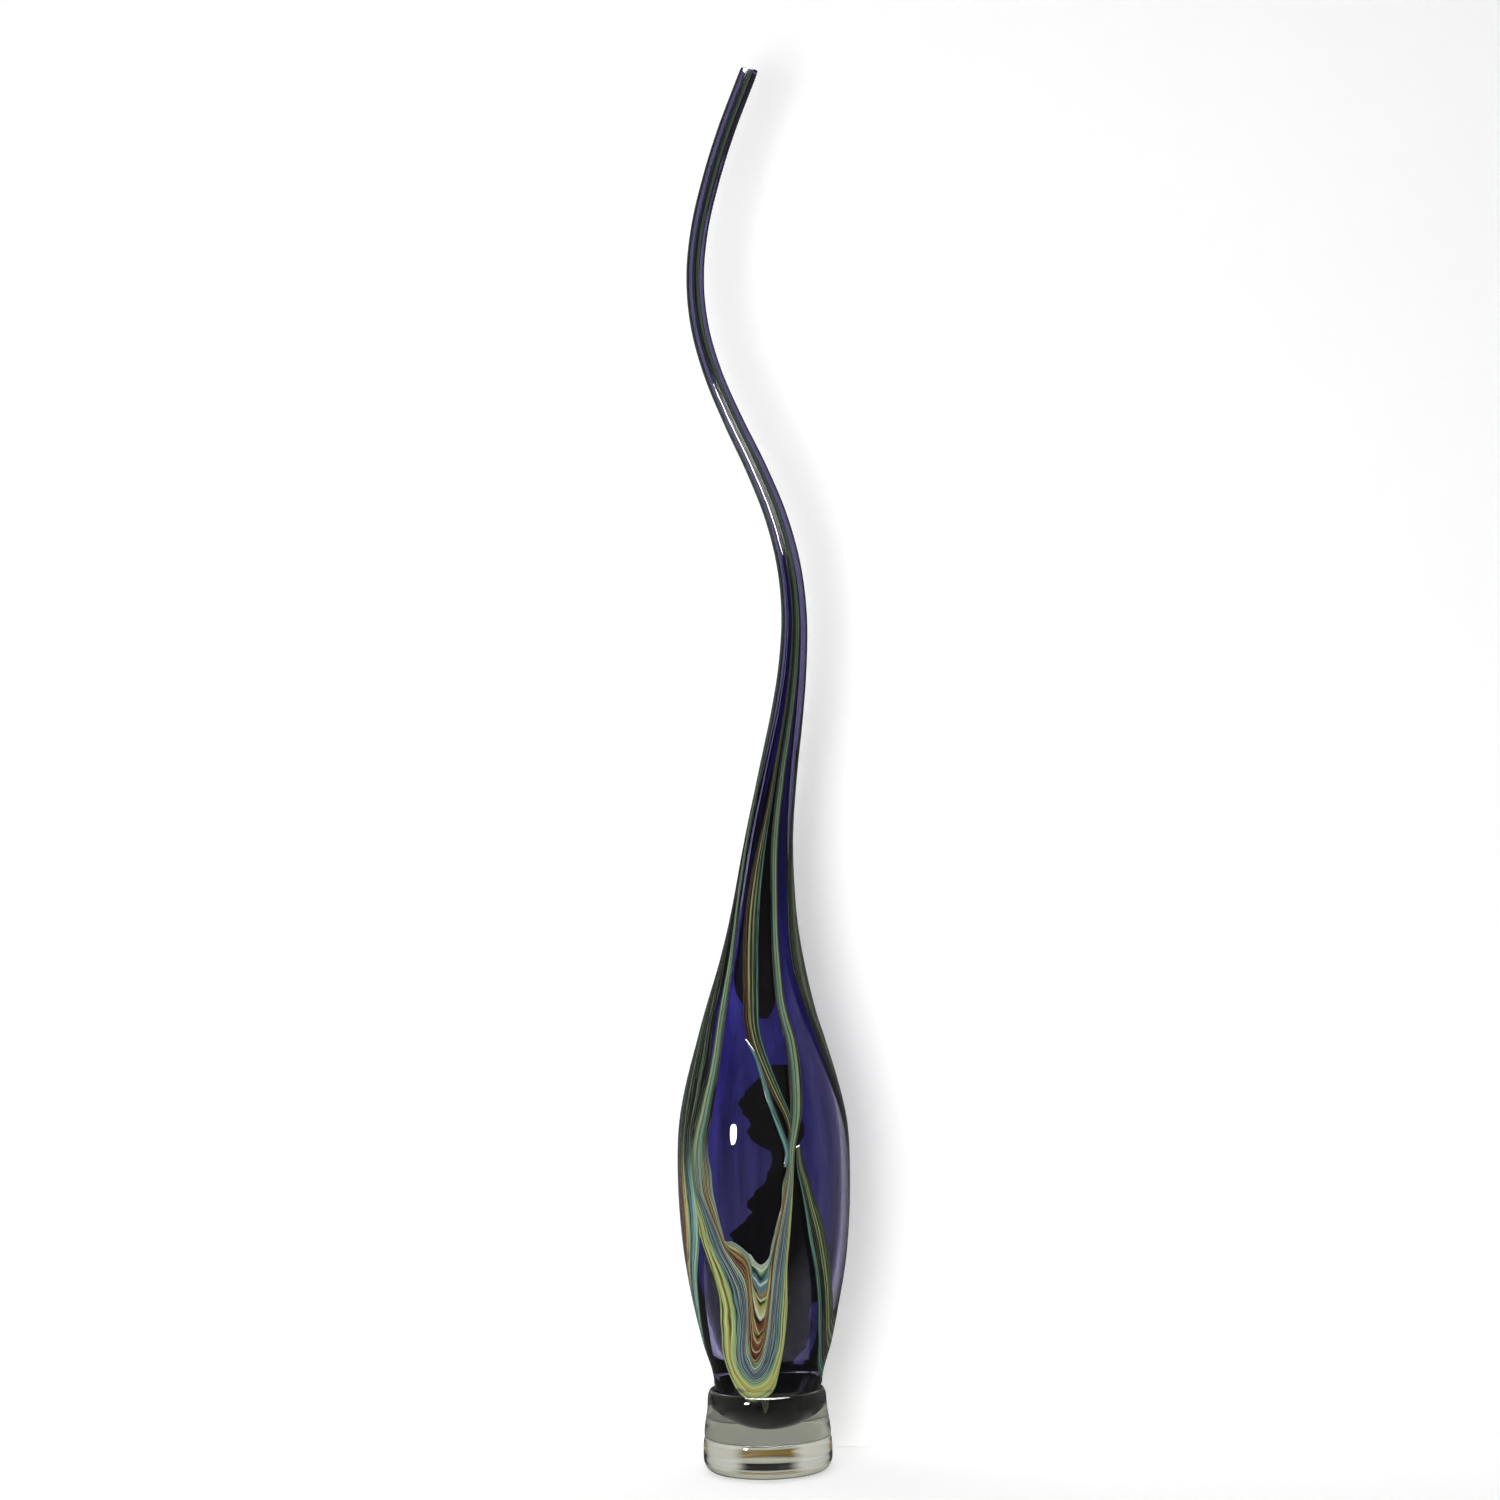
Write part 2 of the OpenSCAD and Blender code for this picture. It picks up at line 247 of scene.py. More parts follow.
class RingStack:
    """A round shape built ring by ring, each ring with the finish of the band that leads to it."""

    def __init__(self, sides: int) -> None:
        """Starts an empty stack with that many sides."""
        self.sides = sides
        self.rings: list = []
        self.bands: list = []

    def add(self, heights: np.ndarray, radii: np.ndarray, seam: Seam, along: float = 0.0,
            centre: float = None) -> None:
        """Adds rings.

        Args:
            heights: each ring's height.
            radii: each ring's radius; a zero radius closes the shape with one point.
            seam: the finish of the bands that lead to these rings.
            along: extra distance along the axis.
            centre: an upright axis at this x, or the skin's own axis when not given.
        """
        angles = np.arange(self.sides) * 360 / self.sides
        for height, radius in zip(np.atleast_1d(heights), np.atleast_1d(radii)):
            turns = angles[:1] if radius < 1e-6 else angles
            ring = SKIN.point(np.full(len(turns), height), turns, radius, along)
            if centre is not None:
                ring[:, 0] = centre * MM + radius * MM * np.sin(np.radians(turns))
                ring[:, 2] = height * MM
            self.rings.append(ring)
            self.bands.append(seam.value)

    def build(self, name: str, materials: list, closed: bool = False) -> Object:
        """Joins the rings.

        Args:
            name: the piece's name.
            materials: one for each Seam value.
            closed: whether the last ring joins the first.

        Returns:
            The piece.
        """
        starts = np.cumsum([0] + [len(r) for r in self.rings])
        faces, bands = [], []
        for high in range(0 if closed else 1, len(self.rings)):
            low = high - 1
            for s in range(self.sides):
                t = (s + 1) % self.sides
                corners = []
                for ring, side in ((low, s), (low, t), (high, t), (high, s)):
                    vertex = int(starts[ring] + (side if len(self.rings[ring]) > 1 else 0))
                    if vertex not in corners:
                        corners.append(vertex)
                faces.append(corners)
                bands.append(self.bands[high])
        used = sorted(set(bands))
        renumbered = [used.index(b) for b in bands]
        return make_object(name, np.concatenate(self.rings), faces, [materials[b] for b in used], renumbered)


# ---------------------------------------------------------------- finishes


def linear(colour: str) -> tuple:
    """Turns an sRGB hex colour such as "#2f2a80" into linear red, green, blue and an alpha of 1."""
    parts = [int(colour[k:k + 2], 16) / 255 for k in (1, 3, 5)]
    return (*[p / 12.92 if p <= 0.04045 else ((p + 0.055) / 1.055) ** 2.4 for p in parts], 1.0)


def set_stops(ramp: ColorRamp, stops: tuple) -> None:
    """Sets a colour ramp's stops.

    Args:
        ramp: the ramp.
        stops: pairs of position and hex colour, with positions rising.
    """
    while len(ramp.elements) > 1:
        ramp.elements.remove(ramp.elements[-1])
    for k, (position, colour) in enumerate(stops):
        element = ramp.elements[0] if k == 0 else ramp.elements.new(position)
        element.position = position
        element.color = linear(colour)


def add_node(tree: NodeTree, kind: str, inputs: dict = None, stops: tuple = (), **settings) -> Node:
    """Adds one node with its settings, constants and links.

    Args:
        tree: the node tree.
        kind: the node's type, without its "ShaderNode".
        inputs: for each input's name or number, a value to set, or a socket or a node's first output to link.
        stops: a colour ramp's stops.
        settings: the node's own properties.

    Returns:
        The node.
    """
    node = tree.nodes.new("ShaderNode" + kind)
    if stops:
        set_stops(node.color_ramp, stops)
    for key, value in settings.items():
        setattr(node, key, value)
    for key, value in (inputs or {}).items():
        if isinstance(value, Node):
            value = value.outputs[0]
        if isinstance(value, NodeSocket):
            tree.links.new(value, node.inputs[key])
        else:
            node.inputs[key].default_value = value
    return node


# Soda-lime glass, fire-polished: no roughness, and light passes through
CLEAR = {"Roughness": 0.0, "IOR": 1.5, "Transmission Weight": 1.0}


@dataclass(frozen=True)
class Finish:
    """A named finish. Each kind of finish adds its own nodes."""

    name: str

    def dress(self, tree: NodeTree) -> Node:
        """Adds the finish's nodes to the tree and returns its last shader."""
        raise NotImplementedError

    def build(self) -> Material:
        """Builds the material.

        Returns:
            The material, with the finish's nodes.
        """
        material = bpy.data.materials.new(self.name)
        material.use_nodes = True
        tree = material.node_tree
        tree.nodes.clear()
        add_node(tree, "OutputMaterial", {"Surface": self.dress(tree)})
        return material


@dataclass(frozen=True)
class ClearGlass(Finish):
    """Soda-lime glass gathered from the furnace and fire-polished: smooth, a little wavy, faintly tinted.

    The tints run from where the glass faces the eye to where it turns edge on, darker edge on: partly the
    wall's depth, partly painted shade at the silhouettes.
    """

    tints: tuple
    top_tints: tuple = ()
    rise_mm: tuple = (285.0, 400.0)
    wave_mm: float = 16.0
    wave_depth_mm: float = 0.03

    def dress(self, tree: NodeTree) -> Node:
        """Deepens the tint where the glass turns away, partly as painted shade, and bends the light in slow
        waves.

        Args:
            tree: the material's nodes.

        Returns:
            The glass shader.
        """
        add = partial(add_node, tree)
        place = add("TexCoord").outputs["Object"]
        wave = add("TexNoise", {"Vector": place, "Scale": 1 / (self.wave_mm * MM)})
        bump = add("Bump", {"Height": wave, "Distance": self.wave_depth_mm * MM, "Strength": 1.0})
        # Darker edge on: partly the wall's depth, partly painted shade at the silhouettes
        turn = add("LayerWeight", {"Blend": 0.5}).outputs["Facing"]
        colour = add("ValToRGB", {"Fac": turn}, self.tints).outputs[0]
        if self.top_tints:
            top = add("ValToRGB", {"Fac": turn}, self.top_tints)
            low, high = self.rise_mm
            height = add("SeparateXYZ", {0: place}).outputs[2]
            span = {"Value": height, "From Min": low * MM, "From Max": high * MM}
            rise = add("MapRange", span, interpolation_type="SMOOTHSTEP")
            colour = add("Mix", {0: rise, 6: colour, 7: top}, data_type="RGBA").outputs[2]
        return add("BsdfPrincipled", {**CLEAR, "Base Color": colour, "Normal": bump})


@dataclass(frozen=True)
class VioletCore(Finish):
    """Cobalt-violet colour glass blown thin inside the clear casing: transparent, with streaks drawn upwards.

    It was gathered unevenly, so the colour thins to a smoky lilac low on the body.
    """

    light: str
    dark: str
    low_light: str
    low_dark: str
    streak_mm: float = 11.0
    streak_stretch: float = 14.0
    low_mm: tuple = (110.0, 255.0)

    def dress(self, tree: NodeTree) -> Node:
        """Varies the colour's depth in long upright streaks, and thins it low down.

        Args:
            tree: the material's nodes.

        Returns:
            The glass shader.
        """
        add = partial(add_node, tree)
        place = add("TexCoord").outputs["Object"]
        across = 1 / (self.streak_mm * MM)
        drawn = add("Mapping", {"Vector": place, "Scale": (across, across, across / self.streak_stretch)})
        streaks = add("TexNoise", {"Vector": drawn, "Scale": 1.0, "Detail": 4.0, "Roughness": 0.6})
        height = add("SeparateXYZ", {0: place}).outputs[2]
        low, high = self.low_mm
        span = {"Value": height, "From Min": low * MM, "From Max": high * MM}
        rise = add("MapRange", span, interpolation_type="SMOOTHSTEP")
        above = add("ValToRGB", {"Fac": streaks}, ((0.34, self.dark), (0.6, self.light)))
        below = add("ValToRGB", {"Fac": streaks}, ((0.34, self.low_dark), (0.6, self.low_light)))
        colour = add("Mix", {0: rise, 6: below, 7: above}, data_type="RGBA").outputs[2]
        return add("BsdfPrincipled", {**CLEAR, "Base Color": colour})


@dataclass(frozen=True)
class IndigoBase(Finish):
    """The bubble's thick violet base in the foot: too deep for light, glossy where clear glass wets it."""

    colour: str
    glow: str
    cloud_mm: float = 16.7

    def dress(self, tree: NodeTree) -> Node:
        """Lays a faint cloud of lighter indigo on a nearly black ground.

        Args:
            tree: the material's nodes.

        Returns:
            The glossy shader.
        """
        add = partial(add_node, tree)
        place = add("TexCoord").outputs["Object"]
        cloud = add("TexNoise", {"Vector": place, "Scale": 1 / (self.cloud_mm * MM), "Detail": 3.0})
        colour = add("ValToRGB", {"Fac": cloud}, ((0.35, self.colour), (0.75, self.glow)))
        return add("BsdfPrincipled", {"Base Color": colour, "Roughness": 0.08, "IOR": CLEAR["IOR"]})


@dataclass(frozen=True)
class FootGlassPaintedReflection(Finish):
    """Clear foot glass, with a painted reflection of the bowl above as amber and brown streaks on its far
    side, and a far bottom edge that light partly passes straight through.
    """

    tints: tuple
    amber: str
    brown: str
    pale: str = "#d8d2b4"
    # Where the painted reflection of the bowl lies: its heights, its half width and how far behind the middle
    streak_mm: tuple = (4.5, 7.5)
    half_width_mm: float = 13.0
    far_mm: tuple = (2.0, 12.0)
    edge_mm: float = 9.0
    lens_mm: float = 4.5
    thinness: float = 0.8

    def dress(self, tree: NodeTree) -> Node:
        """Deepens the tint edge on, partly as painted shade, and adds the painted reflection and the
        see-through edge either side of the middle.

        Args:
            tree: the material's nodes.

        Returns:
            The glass shader.
        """
        add = partial(add_node, tree)
        place = add("TexCoord").outputs["Object"]
        x, y, z = add("SeparateXYZ", {0: place}).outputs
        side = add("Math", {0: x}, operation="ABSOLUTE").outputs[0]
        bottom, top = self.streak_mm
        steps = {
            "far": (y, *self.far_mm),
            "over": (z, bottom - 1, bottom),
            "under": (z, top + 1, top),
            "middle": (side, self.half_width_mm, self.half_width_mm * 0.4),
            "edge": (z, self.edge_mm, self.edge_mm - 2),
            "beside": (side, self.lens_mm, self.lens_mm + 3),
        }
        zones = {}
        for zone, (value, start, end) in steps.items():
            span = {"Value": value, "From Min": start * MM, "From Max": end * MM}
            zones[zone] = add("MapRange", span, interpolation_type="SMOOTHSTEP")
        reflection_zone, thin = zones["far"], zones["far"]
        for zone in ("over", "under", "middle"):
            reflection_zone = add("Math", {0: reflection_zone, 1: zones[zone]}, operation="MULTIPLY")
        for zone in ("edge", "beside"):
            thin = add("Math", {0: thin, 1: zones[zone]}, operation="MULTIPLY")
        # Darker edge on: partly the wall's depth, partly painted shade at the silhouettes
        turn = add("LayerWeight", {"Blend": 0.5}).outputs["Facing"]
        tint = add("ValToRGB", {"Fac": turn}, self.tints)
        # Painted reflection: amber and brown streaks that stand for the bowl seen in the foot's far side
        level = add("Mapping", {"Vector": place, "Scale": (30.0, 30.0, 900.0)})
        streaks = add("TexNoise", {"Vector": level, "Scale": 1.0, "Detail": 3.0})
        painted_reflection = add("ValToRGB", {"Fac": streaks}, ((0.36, self.brown), (0.5, self.amber), (0.62, self.pale)))
        colour = add("Mix", {0: reflection_zone, 6: tint, 7: painted_reflection}, data_type="RGBA").outputs[2]
        alpha = add("Math", {0: thin, 1: -self.thinness, 2: 1.0}, operation="MULTIPLY_ADD")
        return add("BsdfPrincipled", {**CLEAR, "Base Color": colour, "Alpha": alpha})


@dataclass(frozen=True)
class FusedJoint(Finish):
    """A face where two gathers of hot glass have melted together: nothing is left there to see."""

    def dress(self, tree: NodeTree) -> Node:
        """Lets light straight through."""
        return add_node(tree, "BsdfPrincipled", {"Base Color": (1, 1, 1, 1), "Alpha": 0.0})

    def build(self) -> Material:
        """Builds the material and blends it.

        Returns:
            The clear material.
        """
        material = super().build()
        material.surface_render_method = "BLENDED"
        return material


@dataclass(frozen=True)
class MarbledTrail(Finish):
    """Opaque colour glass, combed hot so that its threads run along the trail, then fire-polished to a gloss.

    The stops run across the trail, from one edge to the other: on the drape low on the body, and on the leg
    that climbs the neck. The real threads are finer than these, which are as coarse as they need to show.
    """

    drape: tuple
    leg: tuple
    climb_mm: tuple = (165.0, 215.0)
    threads: float = 8.0
    dark_thread: str = "#0d140a"
    pale_thread: str = "#d6dcb8"
    dark_share: float = 0.9
    pale_share: float = 0.2
    wander: float = 0.014
    wander_mm: float = 22.0
    depth: float = 0.95
    neck_colour: str = "#0c0c10"
    neck_share: float = 0.65
    neck_mm: tuple = (290.0, 520.0)
    seed: float = 0.0

    def noise(self, tree: NodeTree, length_mm: float, across: float, offset: float, detail: float,
              gain: float = 1.0) -> Node:
        """Adds noise stretched along the trail's flow.

        Args:
            tree: the material's nodes.
            length_mm: how long its clouds are along the flow.
            across: how many clouds lie across the trail.
            offset: picks the noise.
            detail: how many finer layers it has.
            gain: how strong it is.

        Returns:
            The noise, centred on zero.
        """
        add = partial(add_node, tree)
        flow = add("UVMap", uv_map="flow")
        scale = (1 / (length_mm * MM), across, 1.0)
        start = (self.seed + offset, offset, offset)
        where = add("Mapping", {"Vector": flow, "Scale": scale, "Location": start})
        cloud = add("TexNoise", {"Vector": where, "Scale": 1.0, "Detail": detail})
        return add("Math", {0: cloud, 1: gain, 2: -gain / 2}, operation="MULTIPLY_ADD")

    def combed(self, tree: NodeTree, level: Node, count: float, offset: float, thin: float,
               share: float) -> Node:
        """Adds fine threads along the flow.

        Args:
            tree: the material's nodes.
            level: the share of the way across the trail.
            count: how many threads lie across it.
            offset: picks their wobble.
            thin: how wide each is, as a share of their spacing.
            share: how strongly they show.

        Returns:
            How strongly the threads show at each place.
        """
        add = partial(add_node, tree)
        wobble = self.noise(tree, self.wander_mm * 1.5, 3.0, offset, 2.0, 2.2)
        phase = add("Math", {0: level, 1: count, 2: wobble}, operation="MULTIPLY_ADD")
        wave = add("Math", {0: phase}, operation="FRACT")
        middle = add("Math", {0: wave, 1: 0.5}, operation="SUBTRACT")
        away = add("Math", {0: middle}, operation="ABSOLUTE")
        line = add("MapRange", {"Value": away, "From Min": thin, "From Max": thin * 0.35, "To Max": share})
        patches = self.noise(tree, self.wander_mm * 2.5, 9.0, offset + 3.0, 2.0)
        there = add("MapRange", {"Value": patches, "From Min": -0.14, "From Max": 0.02})
        return add("Math", {0: line, 1: there}, operation="MULTIPLY")

    def dress(self, tree: NodeTree) -> Node:
        """Lays two colour ramps across the flow, with a slow wander and fine dark and pale threads.

        Args:
            tree: the material's nodes.

        Returns:
            The glossy shader.
        """
        add = partial(add_node, tree)
        flow = add("UVMap", uv_map="flow")
        across = add("SeparateXYZ", {0: flow}).outputs[1]
        slow = self.noise(tree, self.wander_mm, 1.6, 0.0, 2.0, self.wander * 4)
        fine = self.noise(tree, self.wander_mm / 3, 5.0, 7.0, 3.0, self.wander * 0.9)
        wandering = add("Math", {0: across, 1: slow}, operation="ADD")
        level = add("Math", {0: wandering, 1: fine}, operation="ADD")
        place = add("TexCoord").outputs["Object"]
        height = add("SeparateXYZ", {0: place}).outputs[2]
        span = {"Value": height, "From Min": self.climb_mm[0] * MM, "From Max": self.climb_mm[1] * MM}
        climb = add("MapRange", span, interpolation_type="SMOOTHSTEP")
        # Darker up the neck: the trail colour mixes towards neck_colour with height
        span = {"Value": height, "From Min": self.neck_mm[0] * MM, "From Max": self.neck_mm[1] * MM,
                "To Max": self.neck_share}
        darker_up_neck = add("MapRange", span, interpolation_type="SMOOTHSTEP")
        colour = add("ValToRGB", {"Fac": level}, self.drape).outputs[0]
        dark = self.combed(tree, level, self.threads, 11.0, 0.24, self.dark_share)
        pale = self.combed(tree, level, self.threads * 1.37, 23.0, 0.12, self.pale_share)
        layers = (
            (climb, add("ValToRGB", {"Fac": level}, self.leg)), (dark, linear(self.dark_thread)),
            (pale, linear(self.pale_thread)), (darker_up_neck, linear(self.neck_colour)),
        )
        for share, over in layers:
            colour = add("Mix", {0: share, 6: colour, 7: over}, data_type="RGBA").outputs[2]
        glass = add("HueSaturation", {"Color": colour, "Saturation": 0.92, "Value": self.depth})
        relief = add("Bump", {"Height": slow, "Distance": 0.25 * MM, "Strength": 0.4})
        return add("BsdfPrincipled", {
            "Base Color": glass, "Roughness": 0.1, "IOR": CLEAR["IOR"], "Coat Weight": 0.6,
            "Coat Roughness": 0.02, "Normal": relief,
        })


@dataclass(frozen=True)
class MottledTrail(Finish):
    """Dark maroon trail glass on the far side, thick and combed: nearly black, and ruddy where it thins."""

    deep: str
    ruddy: str
    streak: str
    fused: bool = False
    cloud_mm: float = 11.0
    streak_mm: float = 60.0

    def dress(self, tree: NodeTree) -> Node:
        """Lays ruddy clouds and sparse green-grey streaks on a near-black ground.

        Args:
            tree: the material's nodes.

        Returns:
            The shader: glossy outside, and matt where the trail is fused to the glass.
        """
        add = partial(add_node, tree)
        flow = add("UVMap", uv_map="flow")
        edge = add("SeparateXYZ", {0: flow}).outputs[1]
        place = add("TexCoord").outputs["Object"]
        spots = {"Vector": place, "Scale": 1 / (self.cloud_mm * MM), "Detail": 5.0, "Roughness": 0.65}
        cloud = add("TexNoise", spots)
        ground = add("ValToRGB", {"Fac": cloud}, ((0.42, self.deep), (0.72, self.ruddy)))
        long = add("Mapping", {"Vector": flow, "Scale": (1 / (self.streak_mm * MM), 14.0, 1.0)})
        comb = add("TexNoise", {"Vector": long, "Scale": 1.0, "Detail": 3.0})
        strands = add("MapRange", {"Value": comb, "From Min": 0.58, "From Max": 0.7, "To Max": 0.5})
        middle = add("Math", {0: edge, 1: 0.5}, operation="SUBTRACT")
        rim = add("Math", {0: middle}, operation="ABSOLUTE")
        thin = add("MapRange", {"Value": rim, "From Min": 0.4, "From Max": 0.49, "To Max": 0.9})
        colour = ground.outputs[0]
        for share, over in ((strands, self.streak), (thin, self.ruddy)):
            colour = add("Mix", {0: share, 6: colour, 7: linear(over)}, data_type="RGBA").outputs[2]
        wet = {"Roughness": 0.12, "Coat Weight": 0.5}
        surface = {"Roughness": 0.8, "Specular IOR Level": 0.0} if self.fused else wet
        return add("BsdfPrincipled", {"Base Color": colour, "IOR": CLEAR["IOR"], **surface})


# ---------------------------------------------------------------- sub-assemblies


@dataclass
class Bubble:
    """The blown bubble: clear casing outside, violet inside, with a solid indigo base sunk in the foot."""

    sides: int = 160
    base_rings: int = 22
    wall_rings: int = 66
    cavity_rings: int = 50
    floor_rings: int = 16
    name: str = "violet_bubble"

    def build(self, finishes: list) -> Object:
        """Lathes the bubble.

        Args:
            finishes: one material for each Seam value.

        Returns:
            The piece.
        """
        stack = RingStack(self.sides)
        stack.add(SKIN.bowl, 0, Seam.BASE)
        sink = SKIN.bowl + (SKIN.waist - SKIN.bowl) * np.linspace(FIRST_RING, 1, self.base_rings) ** 2
        stack.add(sink[:-1], SKIN.radius(sink[:-1]), Seam.BASE)
        rise = np.linspace(SKIN.waist, SKIN.ring, self.wall_rings)
        stack.add(rise, SKIN.radius(rise), Seam.OUTSIDE)
        stack.add(SKIN.ring, SKIN.cavity_radius(np.array(SKIN.ring)), Seam.FUSED)
        fall = np.linspace(SKIN.ring, SKIN.cavity_shoulder, self.cavity_rings)[1:]
        stack.add(fall, SKIN.cavity_radius(fall), Seam.INSIDE)
        depth = SKIN.cavity_shoulder - SKIN.cavity_floor
        floor = SKIN.cavity_shoulder - depth * np.sin(np.linspace(0, math.pi / 2, self.floor_rings)[1:-1])
        stack.add(floor, SKIN.cavity_radius(floor), Seam.INSIDE)
        stack.add(SKIN.cavity_floor, 0, Seam.INSIDE)
        return stack.build(self.name, finishes)


@dataclass
class DrawnNeck:
    """The neck, pulled hot from the bubble and bent, then cut square at the tip with its edge softened."""

    sides: int = 96
    step: float = 3.0
    edge: float = 0.8
    bore_edge: float = 0.4
    shoulder: float = 1.5
    name: str = "bent_drawn_neck"

    def build(self, finishes: list) -> Object:
        """Sweeps the neck along the bent axis.

        Args:
            finishes: one material for each Seam value.

        Returns:
            The piece.
        """
        stack = RingStack(self.sides)
        below_tip = SKIN.tip - self.shoulder
        heights = np.append(np.arange(SKIN.ring, below_tip - 0.5, self.step), below_tip)
        stack.add(heights, SKIN.radius(heights), Seam.OUTSIDE)
        tip_radius = float(SKIN.radius(SKIN.tip))
        for turn in np.radians((0, 30, 60, 90)):
            inset = self.edge * (1 - math.cos(turn))
            stack.add(SKIN.tip, tip_radius - inset, Seam.OUTSIDE, along=self.edge * (math.sin(turn) - 1))
        bore = float(SKIN.cavity_radius(np.array(SKIN.tip)))
        stack.add(SKIN.tip, bore + self.bore_edge, Seam.OUTSIDE)
        stack.add(SKIN.tip, bore, Seam.OUTSIDE, along=-self.bore_edge)
        down = heights[::-1]
        stack.add(down, SKIN.cavity_radius(down), Seam.INSIDE)
        stack.bands[0] = Seam.FUSED.value
        return stack.build(self.name, finishes, closed=True)


@dataclass
class ClearFoot:
    """The clear foot: a lower disc with a polished hollow, and a gather cupped round the bubble's base."""

    sides: int = 160
    foot_radius: float = 40.0
    seam_height: float = 21.5
    seam_radius: float = 38.6
    edge_radius: float = 7.0
    edge_height: float = 9.0
    side_top: float = 14.0
    punty_radius: float = 11.0
    punty_depth: float = 3.0
    crease_width: float = 0.6
    crease_height: float = 1.6
    lip_height: float = 50.5
    lip_radius: float = 34.5
    side_radius: float = 36.9
    side_height: float = 43.0
    gap: float = 0.15
    steps: int = 14
    flare_start: float = 0.08
    flare_steps: int = 12
    sink_rings: int = 24

    def disc(self, finishes: list) -> Object:
        """Lathes the lower disc.

        Args:
            finishes: one material for each Seam value.

        Returns:
            The piece.
        """
        stack = RingStack(self.sides)
        hollow = (self.punty_radius**2 + self.punty_depth**2) / (2 * self.punty_depth)
        turn = np.linspace(0, math.asin(self.punty_radius / hollow), self.steps)
        ceiling = hollow * np.cos(turn) - hollow + self.punty_depth
        stack.add(ceiling, hollow * np.sin(turn), Seam.OUTSIDE, centre=0)
        turn = np.linspace(0, math.pi / 2, self.steps)
        edge = self.foot_radius - self.edge_radius + self.edge_radius * np.sin(turn)
        stack.add(0, edge[0], Seam.BASE, centre=0)
        stack.add(self.edge_height * (1 - np.cos(turn[1:])), edge[1:], Seam.OUTSIDE, centre=0)
        rise = self.side_top + (self.seam_height - self.side_top) * np.sin(turn)
        flank = self.seam_radius + (self.foot_radius - self.seam_radius) * np.cos(turn)
        stack.add(rise, flank, Seam.OUTSIDE, centre=0)
        stack.add(self.seam_height, 0, Seam.FUSED, centre=0)
        return stack.build("clear_foot_disc", finishes)

    def cup(self, finishes: list) -> Object:
        """Lathes the upper gather.

        Args:
            finishes: one material for each Seam value.

        Returns:
            The piece.
        """
        stack = RingStack(self.sides)
        stack.add(self.seam_height, 0, Seam.FUSED, centre=0)
        turn = np.linspace(0, math.pi / 2, self.steps)
        stack.add(self.seam_height, self.seam_radius, Seam.FUSED, centre=0)
        crease = self.seam_height + self.crease_height * (1 - np.cos(turn[1:]))
        stack.add(crease, self.seam_radius + self.crease_width * np.sin(turn[1:]), Seam.OUTSIDE, centre=0)
        share = np.linspace(self.flare_start, 1, self.flare_steps)
        crease_top = self.seam_height + self.crease_height
        flare = crease_top + share * (self.side_height - crease_top)
        belly = self.seam_radius + self.crease_width
        flank = belly + (self.side_radius - belly) * share**2 * (3 - 2 * share)
        stack.add(flare, flank, Seam.OUTSIDE, centre=0)
        lip = self.lip_radius + (self.side_radius - self.lip_radius) * np.cos(turn[1:])
        shoulder = self.side_height + (self.lip_height - self.side_height) * np.sin(turn[1:])
        stack.add(shoulder, lip, Seam.OUTSIDE, centre=0)
        sink = SKIN.bowl + (self.lip_height - SKIN.bowl) * np.linspace(1, FIRST_RING, self.sink_rings) ** 2
        stack.add(sink, SKIN.radius(sink) + self.gap, Seam.FUSED, centre=SKIN.lean)
        stack.add(SKIN.bowl - self.gap, 0, Seam.FUSED, centre=SKIN.lean)
        return stack.build("clear_foot_cup", finishes)


